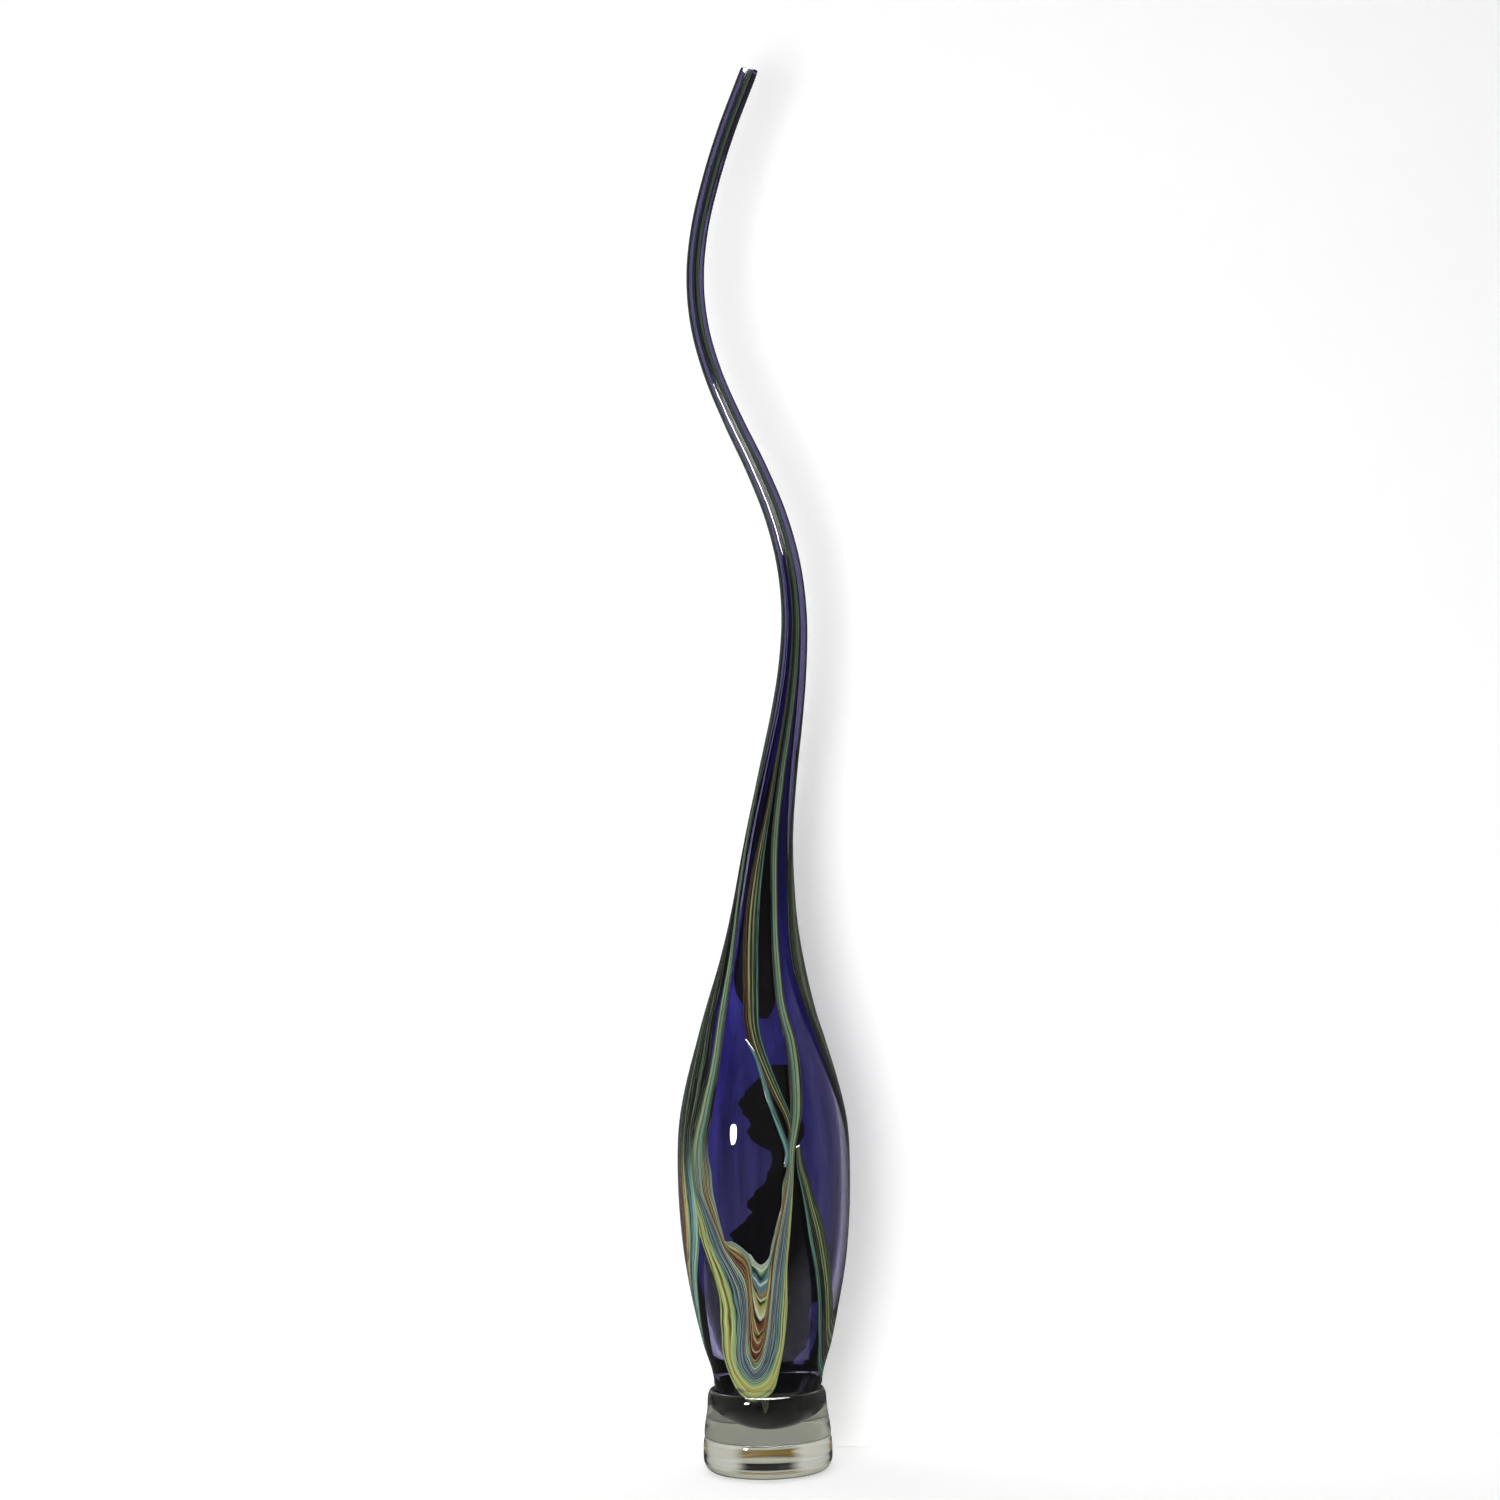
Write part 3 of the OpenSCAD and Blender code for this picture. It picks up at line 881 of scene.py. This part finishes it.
@dataclass
class Trail:
    """A trail of glass laid along the skin and marvered nearly flush: stations across it, lofted along it.

    A leg row is (height, first side's angle, last side's angle). A drape row lists (angle, height) points
    from the first side to the last.
    """

    name: str
    node: str
    slot: Slot
    parts: list
    crown: float = 0.34
    edge: float = 0.02
    depth: float = 0.3
    spacing: float = 2.4
    columns: int = 26
    crease: float = 80.0
    ragged: float = 0.0
    ragged_length: float = 38.0
    end_length: float = 3.0
    end_share: float = 0.1
    seed: int = 1

    @staticmethod
    def leg(rows: list, levels: int, upwards: bool, step: float = 11.0) -> np.ndarray:
        """Evenly spaced stations of a leg.

        Args:
            rows: (height, first angle, last angle), rising.
            levels: points in each station.
            upwards: whether the flow climbs.
            step: rough distance between stations.

        Returns:
            Angles and heights, station by station.
        """
        low, high = rows[0][0], rows[-1][0]
        heights = np.linspace(low, high, max(2, round((high - low) / step)))
        first = smooth([(r[0], r[1]) for r in rows], heights)
        last = smooth([(r[0], r[2]) for r in rows], heights)
        share = np.linspace(0, 1, levels)
        angles = first[:, None] + (last - first)[:, None] * share
        stations = np.stack([angles, np.repeat(heights[:, None], levels, 1)], -1)
        return stations if upwards else stations[::-1]

    @staticmethod
    def drape(rows: list, levels: int) -> np.ndarray:
        """Stations of a draped stretch, spread to that many points each."""
        places = np.linspace(0, 1, levels)
        return np.array([through(np.array(row, float), places * (len(row) - 1)) for row in rows])

    def loft(self, stations: np.ndarray, first: int) -> tuple:
        """Lays one ribbon on the skin.

        Args:
            stations: angles and heights, station by station.
            first: the number of the ribbon's first vertex.

        Returns:
            Its points, faces, flow coordinates and whether each face is fused to the glass.
        """
        radius = SKIN.radius(stations[..., 1])
        arc = np.stack([np.radians(stations[..., 0]) * radius, stations[..., 1]], -1)
        gaps = np.linalg.norm(np.diff(arc, axis=0), axis=-1)
        counts = np.maximum(1, np.ceil(gaps.max(1) / self.spacing).astype(int))
        places = np.concatenate([k + np.arange(n) / n for k, n in enumerate(counts)] + [[len(counts)]])
        distance = np.concatenate([[0], np.cumsum(gaps.mean(1))])
        along = np.interp(places, np.arange(len(distance)), distance)
        rows = through(stations, places)
        low = self.ragged * (0.5 + 0.5 * ripple(along, self.ragged_length, self.seed))
        high = 1 - self.ragged * (0.5 + 0.5 * ripple(along, self.ragged_length, self.seed + 1))
        across = np.linspace(0, 1, self.columns)
        spread = (low[:, None] + (high - low)[:, None] * across) * (rows.shape[1] - 1)
        laid = np.array([through(row, places) for row, places in zip(rows, spread)])
        dome = self.edge + (self.crown - self.edge) * (1 - (2 * across - 1) ** 2)
        ends = np.clip(np.minimum(along, along[-1] - along) / self.end_length, 0, 1)[:, None]
        dome = dome * (self.end_share + (1 - self.end_share) * ends)
        angles, heights = laid[..., 0], laid[..., 1]
        top = SKIN.point(heights, angles, SKIN.radius(heights) + dome)
        under = SKIN.point(heights, angles, SKIN.radius(heights) - self.depth)
        loops = np.concatenate([under, top[:, ::-1]], axis=1)
        ring = loops.shape[1]
        share = np.tile(np.concatenate([across, across[::-1]]), (len(along), 1))
        flow = np.stack([np.repeat(along[:, None] * MM, ring, 1), share], -1)
        faces, bands = [], []
        for c in range(len(along) - 1):
            for i in range(ring):
                j = (i + 1) % ring
                a, b = first + c * ring, first + (c + 1) * ring
                faces.append([a + i, a + j, b + j, b + i])
                bands.append(int(i < self.columns - 1))
        end = first + (len(along) - 1) * ring
        for i in range(self.columns - 1):
            faces.append([first + i + 1, first + i, first + ring - 1 - i, first + ring - 2 - i])
            faces.append([end + i, end + i + 1, end + ring - 2 - i, end + ring - 1 - i])
            bands += [0, 0]
        return loops.reshape(-1, 3), faces, flow.reshape(-1, 2), bands

    def build(self, finish: Material, under: Material = None) -> Object:
        """Builds the trail.

        Args:
            finish: the finish of its outside.
            under: the finish of the face fused to the glass, when it differs.

        Returns:
            The piece.
        """
        points, faces, flow, bands, first = [], [], [], [], 0
        for stations in self.parts:
            p, f, w, b = self.loft(stations, first)
            points.append(p)
            faces += f
            flow.append(w)
            bands += b
            first += len(p)
        points, flow = np.concatenate(points), np.concatenate(flow)
        finishes, bands = ([finish, under], bands) if under else ([finish], [])
        return make_object(self.name, points, faces, finishes, bands, flow, self.crease)


# Points in each station across a trail, the wide front one and its drip
LEVELS = 7
FRONT_LEVELS = 13
DRIP_LEVELS = 3

# Legs, as (height, first side's angle, last side's angle)
FRONT_LEFT_LEG = (
    (178, -56, -36), (190, -58, -37), (205, -57, -40), (222, -52, -38), (253, -47, -36), (293, -51, -39),
    (325, -57, -46), (352, -66, -54), (413, -78, -55), (507, -82, -50), (867, -84, -46),
)
FRONT_RIGHT_LEG = (
    (192, 20, 15), (206, 22, 16), (224, 28, 19), (247, 32, 21), (270, 33, 21), (293, 27, 16), (354, 24, 10),
    (413, 22, 3), (507, 26, 1), (867, 34, 2),
)
CENTRE_LEG = (
    (212, 18, 20), (222, 15, 20), (238, 6, 14), (259, -6, 5), (275, -15, -1), (293, -21, -3), (353, -36, -9),
    (413, -18, -4), (507, -13, -3), (867, -12, -3),
)
RIGHT_LEG = (
    (160, 111, 99), (180, 107, 93), (205, 100, 86), (240, 88, 73), (265, 82, 64), (290, 78, 54),
    (315, 80, 44), (352, 86, 46), (413, 92, 62), (867, 98, 72),
)
LEFT_LEG = (
    (215, -80, -53), (228, -84, -50), (247, -88, -48), (274, -96, -52), (310, -105, -60), (352, -112, -76),
    (413, -116, -92), (867, -114, -94),
)
TONGUE_LEG = (
    (277, 172, 180), (283, 165, 196), (292, 160, 214), (306, 159, 228), (352, 160, 240), (413, 162, 232),
    (450, 168, 196), (500, 172, 188), (867, 172, 186),
)
SWAG_LEG = (
    (51, 130, 204), (58, 123, 210), (72, 121, 213), (100, 120, 214), (130, 121, 212), (144, 127, 208),
    (153, 134, 200), (167, 142, 187), (176, 146, 183), (183, 147, 169), (188, 148, 175), (200, 146, 191),
    (214, 148, 199), (227, 148, 199), (238, 146, 186), (247, 149, 172),
)

# The front drape, combed into nested loops: each row crosses it from its outer edge to its top edge
FRONT_DRAPE = (
    ((-54, 165), (-47, 166), (-43, 166), (-40, 166), (-38, 166), (-35, 166), (-33, 166)),
    ((-50, 150), (-42, 152), (-37, 152), (-34, 153), (-32, 153), (-31, 153), (-30, 154)),
    ((-46, 140), (-37, 140), (-32, 141), (-29, 142), (-28, 144), (-27, 146), (-28, 148)),
    ((-41, 126), (-31, 128), (-25, 129), (-22, 131), (-20, 137), (-21, 143), (-23, 148)),
    ((-38, 112), (-26, 114), (-20, 116), (-16, 119), (-14, 130), (-14, 138), (-17, 145)),
    ((-41, 94), (-25, 96), (-19, 97), (-16, 99), (-13, 112), (-11, 129), (-12, 141)),
    ((-45, 76), (-29, 78), (-22, 80), (-19, 81), (-13, 95), (-10, 117), (-10, 140)),
    ((-40, 58), (-27, 66), (-21, 70), (-17, 73), (-13, 85), (-8, 107), (-7, 136)),
    ((-21, 46), (-15, 59), (-14, 64), (-13, 68), (-10, 79), (-5, 101), (-3, 134)),
    ((5, 54), (0, 65), (-4, 70), (-5, 74), (-5, 84), (-1, 106), (2, 138)),
    ((13, 76), (9, 82), (3, 87), (1, 90), (-1, 96), (1, 115), (4, 146)),
    ((16, 103), (11, 105), (6, 108), (4, 110), (2, 114), (4, 131), (6, 153)),
    ((15, 129), (13, 131), (9, 134), (7, 136), (5, 140), (6, 148), (8, 160)),
    ((17, 153), (15, 154), (13, 156), (11, 158), (10, 159), (10, 163), (11, 170)),
    ((19, 178), (18, 178), (17, 179), (16, 179), (14, 180), (13, 181), (12, 182)),
)
DRIP = (
    ((-10, 50), (2, 50)), ((-9, 47), (0, 47)), ((-7, 44), (-1, 44)), ((-6, 41), (-3, 41)),
    ((-5, 39.5), (-4.4, 39.5)),
)
RIGHT_DRAPE = (
    ((22, 205), (25, 206)), ((22, 192), (27, 194)), ((25, 178), (31, 184)), ((28, 163), (36, 170)),
    ((31, 148), (42, 158)), ((37, 128), (49, 138)), ((43, 108), (57, 118)), ((49, 86), (66, 102)),
    ((59, 66), (74, 96)), ((78, 57), (80, 96)), ((97, 60), (87, 98)), ((108, 78), (92, 104)),
    ((113, 100), (96, 114)), ((114, 122), (99, 128)), ((112, 148), (100, 149)),
)
LEFT_DRAPE = (
    ((-54, 204), (-80, 204)), ((-54, 190), (-79, 192)), ((-51, 176), (-77, 178)), ((-50, 160), (-76, 164)),
    ((-52, 143), (-76, 151)), ((-61, 120), (-80, 134)), ((-70, 95), (-88, 118)), ((-81, 74), (-96, 108)),
    ((-98, 60), (-104, 104)), ((-118, 64), (-111, 106)), ((-129, 84), (-117, 114)),
    ((-133, 110), (-121, 128)), ((-132, 140), (-124, 150)), ((-129, 175), (-125, 178)),
    ((-126, 215), (-124, 216)),
)
# The teal thread that splits from the centre stem and runs down to the knot
TEAL_THREAD = (
    ((-15, 270), (-13.5, 270)), ((-6, 259), (-3, 260)), ((-1, 246), (3, 247)), ((3, 233), (7, 234)),
    ((10, 214), (14, 215)), ((14, 202), (18, 203)), ((13, 193), (16, 193)),
)


def front_trail_parts() -> list:
    """Lays out the front trail.

    Returns:
        Its two legs with the combed drape between them, and its drip.
    """
    left = Trail.leg(FRONT_LEFT_LEG, FRONT_LEVELS, upwards=False)
    right = Trail.leg(FRONT_RIGHT_LEG, FRONT_LEVELS, upwards=True)
    drip = Trail.drape(DRIP, DRIP_LEVELS)
    return [np.concatenate([left, Trail.drape(FRONT_DRAPE, FRONT_LEVELS), right]), drip]


# ---------------------------------------------------------------- staging


WHITE = (1.0, 1.0, 1.0, 1.0)


def mirrored(tree: NodeTree) -> Node:
    """Adds whether a ray is a mirror reflection that never went into glass, and returns it."""
    path = add_node(tree, "LightPath").outputs
    inner = {0: path["Is Transmission Ray"], 1: path["Transmission Depth"]}
    inside = add_node(tree, "Math", inner, operation="ADD")
    return add_node(tree, "Math", {0: path["Is Glossy Ray"], 1: inside}, operation="SUBTRACT", use_clamp=True)


@dataclass(frozen=True)
class Paper(Finish):
    """White background paper, matt and faintly glowing as a room lights it, that fades out with distance.

    Mirror reflections see it dim, and so does light through glass where it lies in front of the vase.
    """

    centre: tuple
    fade: tuple
    glow: float
    dim_glow: float
    one_sided: bool = False
    front: tuple = (-0.1, -0.3)

    def dress(self, tree: NodeTree) -> Node:
        """Adds the paper, its glow and its fade.

        Args:
            tree: the material's nodes.

        Returns:
            The shader.
        """
        add = partial(add_node, tree)
        where = add("TexCoord").outputs["Object"]
        grain = add("TexNoise", {"Vector": where, "Scale": 3.0})
        pulp = add("ValToRGB", {"Fac": grain}, ((0.0, "#f2f2f2"), (1.0, "#f8f8f8")))
        matt = add("BsdfDiffuse", {"Color": pulp})
        glow = add("Emission", {"Color": WHITE, "Strength": self.glow})
        both = add("AddShader", {0: matt, 1: glow})
        dim = add("Emission", {"Color": WHITE, "Strength": self.dim_glow})
        nearer = add("SeparateXYZ", {0: where}).outputs[1]
        room = add("MapRange", {"Value": nearer, "From Min": self.front[0], "From Max": self.front[1]})
        through_glass = add("LightPath").outputs["Is Transmission Ray"]
        shaded = add("Math", {0: room, 1: through_glass}, operation="MULTIPLY")
        dark = add("Math", {0: mirrored(tree), 1: shaded}, operation="MAXIMUM")
        seen = add("MixShader", {0: dark, 1: both, 2: dim})
        away = add("VectorMath", {0: where, 1: self.centre}, operation="DISTANCE").outputs["Value"]
        span = {"Value": away, "From Min": self.fade[0], "From Max": self.fade[1]}
        gone = add("MapRange", span, interpolation_type="SMOOTHSTEP")
        if self.one_sided:
            behind = add("NewGeometry").outputs["Backfacing"]
            gone = add("Math", {0: gone, 1: behind}, operation="MAXIMUM")
        return add("MixShader", {0: gone, 1: seen, 2: add("BsdfTransparent")})


@dataclass(frozen=True)
class Lamp:
    """A round light aimed at the vase, which shows in reflections or lights matt surfaces, never both."""

    name: str
    place: tuple
    size: float
    power: float
    gloss: bool

    def hang(self, aim: tuple) -> None:
        """Hangs the light.

        Args:
            aim: the point that it faces.
        """
        data = bpy.data.lights.new(self.name, "AREA")
        data.shape = "DISK"
        data.size = self.size
        data.energy = self.power
        lamp = bpy.data.objects.new(self.name, data)
        lamp.location = self.place
        lamp.visible_glossy = self.gloss
        lamp.visible_diffuse = not self.gloss
        lamp.visible_transmission = False
        lamp.rotation_mode = "QUATERNION"
        lamp.rotation_quaternion = (Vector(aim) - Vector(self.place)).to_track_quat("-Z", "Y")
        bpy.context.scene.collection.objects.link(lamp)


@dataclass
class Studio:
    """A pale seamless floor and backdrop that fade into an even white surround, and the lights and camera."""

    floor_fade: tuple = (1.2, 2.4)
    floor_drop: float = 0.0002
    floor_glow: float = 0.37
    wall_place: tuple = (0.0, 0.066, 0.44)
    wall_fade: tuple = (0.72, 1.0)
    wall_glow: float = 0.28
    dim_glow: float = 0.08
    daylight: float = 0.24
    room_glow: float = 0.15
    # A lamp that glints on the glass, a skylight that rims the foot's lip, and a window that casts the shadow
    lamps: tuple = (
        Lamp("front_left_lamp", (-1.0, -1.18, 0.37), 0.25, 14.0, True),
        Lamp("skylight", (0.0, -0.35, 1.5), 1.6, 200.0, True),
        Lamp("soft_window", (-0.46, -1.45, 0.46), 0.75, 12.5, False),
    )
    aim: tuple = (0.0, 0.0, 0.35)
    camera_place: tuple = (-0.0021, -2.25, 0.446)
    lens: float = 87.1
    roll: float = 1.2

    def papers(self) -> None:
        """Lays the floor and hangs the backdrop close behind the vase."""
        turn = np.radians(np.arange(0, 360, 3))
        circle = np.stack([np.cos(turn), np.sin(turn), np.zeros(len(turn))], -1)
        face = [list(range(len(turn)))]
        floor = circle * self.floor_fade[1] - np.array((0, 0, self.floor_drop))
        paper = Paper("pale_floor_paper", (0, 0, 0), self.floor_fade, self.floor_glow, self.dim_glow)
        make_object("floor", floor, face, [paper.build()])
        wall = circle[:, [0, 2, 1]] * self.wall_fade[1] + np.array(self.wall_place)
        wall[:, 2] = np.maximum(wall[:, 2], 0)
        name = "pale_backdrop_paper"
        paper = Paper(name, self.wall_place, self.wall_fade, self.wall_glow, self.dim_glow, one_sided=True)
        make_object("backdrop", wall, face, [paper.build()])

    def surround(self) -> None:
        """Sets a surround: white behind the vase, a dim room in front of it, daylight for matt surfaces."""
        world = bpy.data.worlds.new("surround")
        world.use_nodes = True
        bpy.context.scene.world = world
        tree = world.node_tree
        tree.nodes.clear()
        add = partial(add_node, tree)
        path = add("LightPath").outputs
        way = add("TexCoord").outputs["Generated"]
        back = add("SeparateXYZ", {0: way}).outputs[1]
        span = {"Value": back, "From Min": -0.3, "From Max": 0.0, "To Min": self.room_glow, "To Max": 1.0}
        strength = add("MapRange", span)
        camera, matt = path["Is Camera Ray"], path["Is Diffuse Ray"]
        for ray, glow in ((camera, 1.0), (matt, self.daylight), (mirrored(tree), self.dim_glow)):
            strength = add("Mix", {0: ray, 2: strength, 3: glow})
        background = add("Background", {"Color": WHITE, "Strength": strength})
        add("OutputWorld", {"Surface": background})

    def camera(self) -> None:
        """Sets the camera level with the middle of the vase."""
        data = bpy.data.cameras.new("camera")
        data.lens = self.lens
        camera = bpy.data.objects.new("camera", data)
        camera.location = self.camera_place
        camera.rotation_mode = "QUATERNION"
        upright = Matrix.Rotation(math.pi / 2, 3, "X")
        rolled = Matrix.Rotation(-math.radians(self.roll), 3, "Z")
        camera.rotation_quaternion = (upright @ rolled).to_quaternion()
        bpy.context.scene.collection.objects.link(camera)
        bpy.context.scene.camera = camera
        bpy.context.scene.view_settings.view_transform = "Standard"

    def build(self) -> None:
        """Sets up the whole studio."""
        self.papers()
        self.surround()
        for lamp in self.lamps:
            lamp.hang(self.aim)
        self.camera()


def place(piece: Object, slot: Slot, *nodes: str) -> None:
    """Rides a piece on the body and lets it stand for its CAD nodes.

    Args:
        piece: the piece.
        slot: its material slot; not used.
        nodes: the CAD nodes that it stands for.
    """
    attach(piece, BODY)
    if nodes:
        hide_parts(*nodes)
    LOG.info("%s: %d faces", piece.name, len(piece.data.polygons))


def glass_pieces() -> None:
    """Builds the bubble, the neck and the foot."""
    # Tint ramps from facing the eye to edge on; their darker edge-on ends are partly painted shade at the
    # silhouettes
    cased = (
        (0.0, "#f0f0f6"), (0.2, "#c4c0dc"), (0.34, "#6f6a98"), (0.48, "#565178"), (0.66, "#474552"),
        (0.85, "#3c3c40"), (1.0, "#202022"),
    )
    smoke = ((0.0, "#5c5880"), (0.4, "#4e4a6c"), (0.7, "#35333e"), (1.0, "#1a1a1c"))
    foot_tints = ((0.0, "#cfd1c0"), (0.5, "#c6c8b6"), (0.8, "#989a8a"), (1.0, "#50524a"))
    cup_tints = ((0.0, "#85867e"), (0.5, "#85867c"), (0.8, "#6f7268"), (1.0, "#40423b"))
    # Foot glass with a painted reflection of the bowl in amber and brown streaks
    clear = FootGlassPaintedReflection("foot_glass_painted_reflection", foot_tints, "#76521a", "#1c1208").build()
    cup_clear = ClearGlass("clear_cup_glass", cup_tints).build()
    casing = ClearGlass("clear_casing_glass", cased).build()
    smoky = ClearGlass("smoky_neck_casing_glass", cased, smoke, wave_mm=30.0).build()
    violet = VioletCore("cobalt_violet_glass", "#433e98", "#1f1a68", "#605c96", "#3f3b66").build()
    indigo = IndigoBase("indigo_base_glass", "#07070f", "#15152a").build()
    joint = FusedJoint("fused_glass_joint").build()
    place(Bubble().build([casing, violet, joint, indigo]), Slot.VIOLET, "body_bubble")
    place(DrawnNeck().build([smoky, violet, joint, indigo]), Slot.VIOLET, "drawn_neck")
    foot = ClearFoot()
    place(foot.disc([clear, clear, joint, clear]), Slot.FOOT, "foot_disc")
    place(foot.cup([cup_clear, cup_clear, joint, cup_clear]), Slot.FOOT, "foot_cup")


def dressed_trails() -> list:
    """Lays out the trails with their finishes.

    Returns:
        Pairs of a trail and its finish.
    """
    front = MarbledTrail(
        "marbled_front_trail_glass",
        drape=(
            (0.0, "#343a1a"), (0.015, "#8f9e50"), (0.06, "#9dab58"), (0.1, "#9a8c3c"), (0.13, "#98a85c"),
            (0.155, "#76966a"), (0.175, "#20362f"), (0.19, "#5a8270"), (0.23, "#3b5868"), (0.3, "#30485c"),
            (0.315, "#a4aaa0"), (0.33, "#30485c"), (0.42, "#24394f"), (0.45, "#8a948c"), (0.465, "#263c4e"),
            (0.495, "#33505a"), (0.505, "#c2c6b6"), (0.52, "#4a7068"), (0.56, "#8ca26c"), (0.585, "#5f2a10"),
            (0.64, "#54200c"), (0.69, "#5f3612"), (0.74, "#82702c"), (0.775, "#5f3612"), (0.805, "#54200c"),
            (0.825, "#aab294"), (0.845, "#8b9654"), (0.885, "#8a7028"), (0.905, "#426672"),
            (0.935, "#46727a"), (0.955, "#6e9674"), (1.0, "#9aa092"),
        ),
        leg=(
            (0.0, "#0a0d08"), (0.17, "#182212"), (0.26, "#86a272"), (0.38, "#8fac80"), (0.47, "#182214"),
            (0.55, "#6f9a78"), (0.68, "#4f8272"), (0.8, "#18241c"), (1.0, "#080a07"),
        ),
        threads=14.0,
        pale_share=0.5,
    )
    centre = MarbledTrail(
        "marbled_centre_stem_glass",
        drape=((0.0, "#3a1c0c"), (0.3, "#6a3a16"), (0.6, "#a9b070"), (0.8, "#5f9a8a"), (1.0, "#1e2a1c")),
        leg=(
            (0.0, "#1a0f08"), (0.2, "#4a260e"), (0.34, "#1c160c"), (0.42, "#a6ab68"), (0.5, "#222812"),
            (0.6, "#10120c"), (0.66, "#7d9460"), (0.72, "#1c2418"), (0.84, "#0c0f0c"), (0.9, "#4c8076"),
            (1.0, "#10140f"),
        ),
        seed=3.0,
    )
    right = MarbledTrail(
        "marbled_right_trail_glass",
        drape=(
            (0.0, "#141c15"), (0.07, "#4c7a6c"), (0.2, "#3c6256"), (0.27, "#0f130d"), (0.44, "#1a2016"),
            (0.5, "#6f8450"), (0.55, "#1c2416"), (0.62, "#8c985c"), (0.67, "#161c10"), (0.76, "#4c5c3a"),
            (0.82, "#181f13"), (0.9, "#3c4c34"), (1.0, "#0f130d"),
        ),
        leg=((0.0, "#1c221a"), (0.3, "#3c4a38"), (0.5, "#6d7a5c"), (0.7, "#2b3328"), (1.0, "#191d18")),
        seed=5.0,
    )
    left = MarbledTrail(
        "marbled_left_trail_glass",
        drape=(
            (0.0, "#3f6450"), (0.15, "#8cb491"), (0.3, "#5b93a0"), (0.4, "#1d3038"), (0.5, "#a9bd80"),
            (0.62, "#b58c3c"), (0.72, "#6e3a20"), (0.85, "#5a2c20"), (1.0, "#20160f"),
        ),
        leg=(
            (0.0, "#0a0c08"), (0.15, "#10140c"), (0.2, "#4c6a52"), (0.25, "#10140c"), (0.45, "#12160e"),
            (0.5, "#5f7c56"), (0.55, "#12160e"), (0.73, "#161c14"), (0.79, "#4f8076"), (0.85, "#10140e"),
            (1.0, "#080907"),
        ),
        seed=8.0,
    )
    teal = MarbledTrail(
        "teal_thread_glass",
        drape=((0.0, "#1c302e"), (0.3, "#5a8c80"), (0.7, "#3f6c66"), (1.0, "#142220")),
        leg=((0.0, "#1c302e"), (0.3, "#5f8c86"), (0.6, "#406c6c"), (1.0, "#142220")),
        threads=3.0,
        seed=9.0,
    )
    maroon = MottledTrail("maroon_trail_glass", "#0e0809", "#5a2318", "#33402c").build()
    front_parts = front_trail_parts()
    centre_parts = [Trail.leg(CENTRE_LEG, LEVELS, upwards=False)]
    right_leg = Trail.leg(RIGHT_LEG, LEVELS, upwards=True)
    right_parts = [np.concatenate([Trail.drape(RIGHT_DRAPE, LEVELS), right_leg])]
    left_leg = Trail.leg([(height, last, first) for height, first, last in LEFT_LEG], LEVELS, upwards=False)
    left_parts = [np.concatenate([left_leg, Trail.drape(LEFT_DRAPE, LEVELS)])]
    swag_parts = [Trail.leg(SWAG_LEG, LEVELS, upwards=True)]
    tongue_parts = [Trail.leg(TONGUE_LEG, LEVELS, upwards=True)]
    thread_parts = [Trail.drape(TEAL_THREAD, LEVELS)]
    return [
        (Trail("front_drape_trail", "front_trail", Slot.MARBLED, front_parts, columns=40), front.build()),
        (Trail("centre_stem_trail", "centre_trail", Slot.MARBLED, centre_parts), centre.build()),
        (Trail("right_drape_trail", "right_trail", Slot.MARBLED, right_parts), right.build()),
        (Trail("left_drape_trail", "left_trail", Slot.MARBLED, left_parts), left.build()),
        (Trail("back_swag_trail", "back_swag", Slot.DARK, swag_parts, ragged=0.16, seed=4), maroon),
        (Trail("back_tongue_trail", "back_tongue", Slot.DARK, tongue_parts, ragged=0.06, seed=6), maroon),
        (Trail("teal_thread_trail", "", Slot.MARBLED, thread_parts, columns=8), teal.build()),
    ]


def main() -> None:
    """Builds the vase, then the studio round it."""
    logging.basicConfig(level=logging.INFO, format="%(name)s: %(message)s")
    glass_pieces()
    under = MottledTrail("fused_maroon_trail_glass", "#0b0708", "#8a2c1c", "#2c382c", fused=True).build()
    for trail, finish in dressed_trails():
        piece = trail.build(finish, under if trail.slot is Slot.DARK else None)
        place(piece, trail.slot, *([trail.node] if trail.node else []))
    Studio().build()


if __name__ == "__main__":
    main()
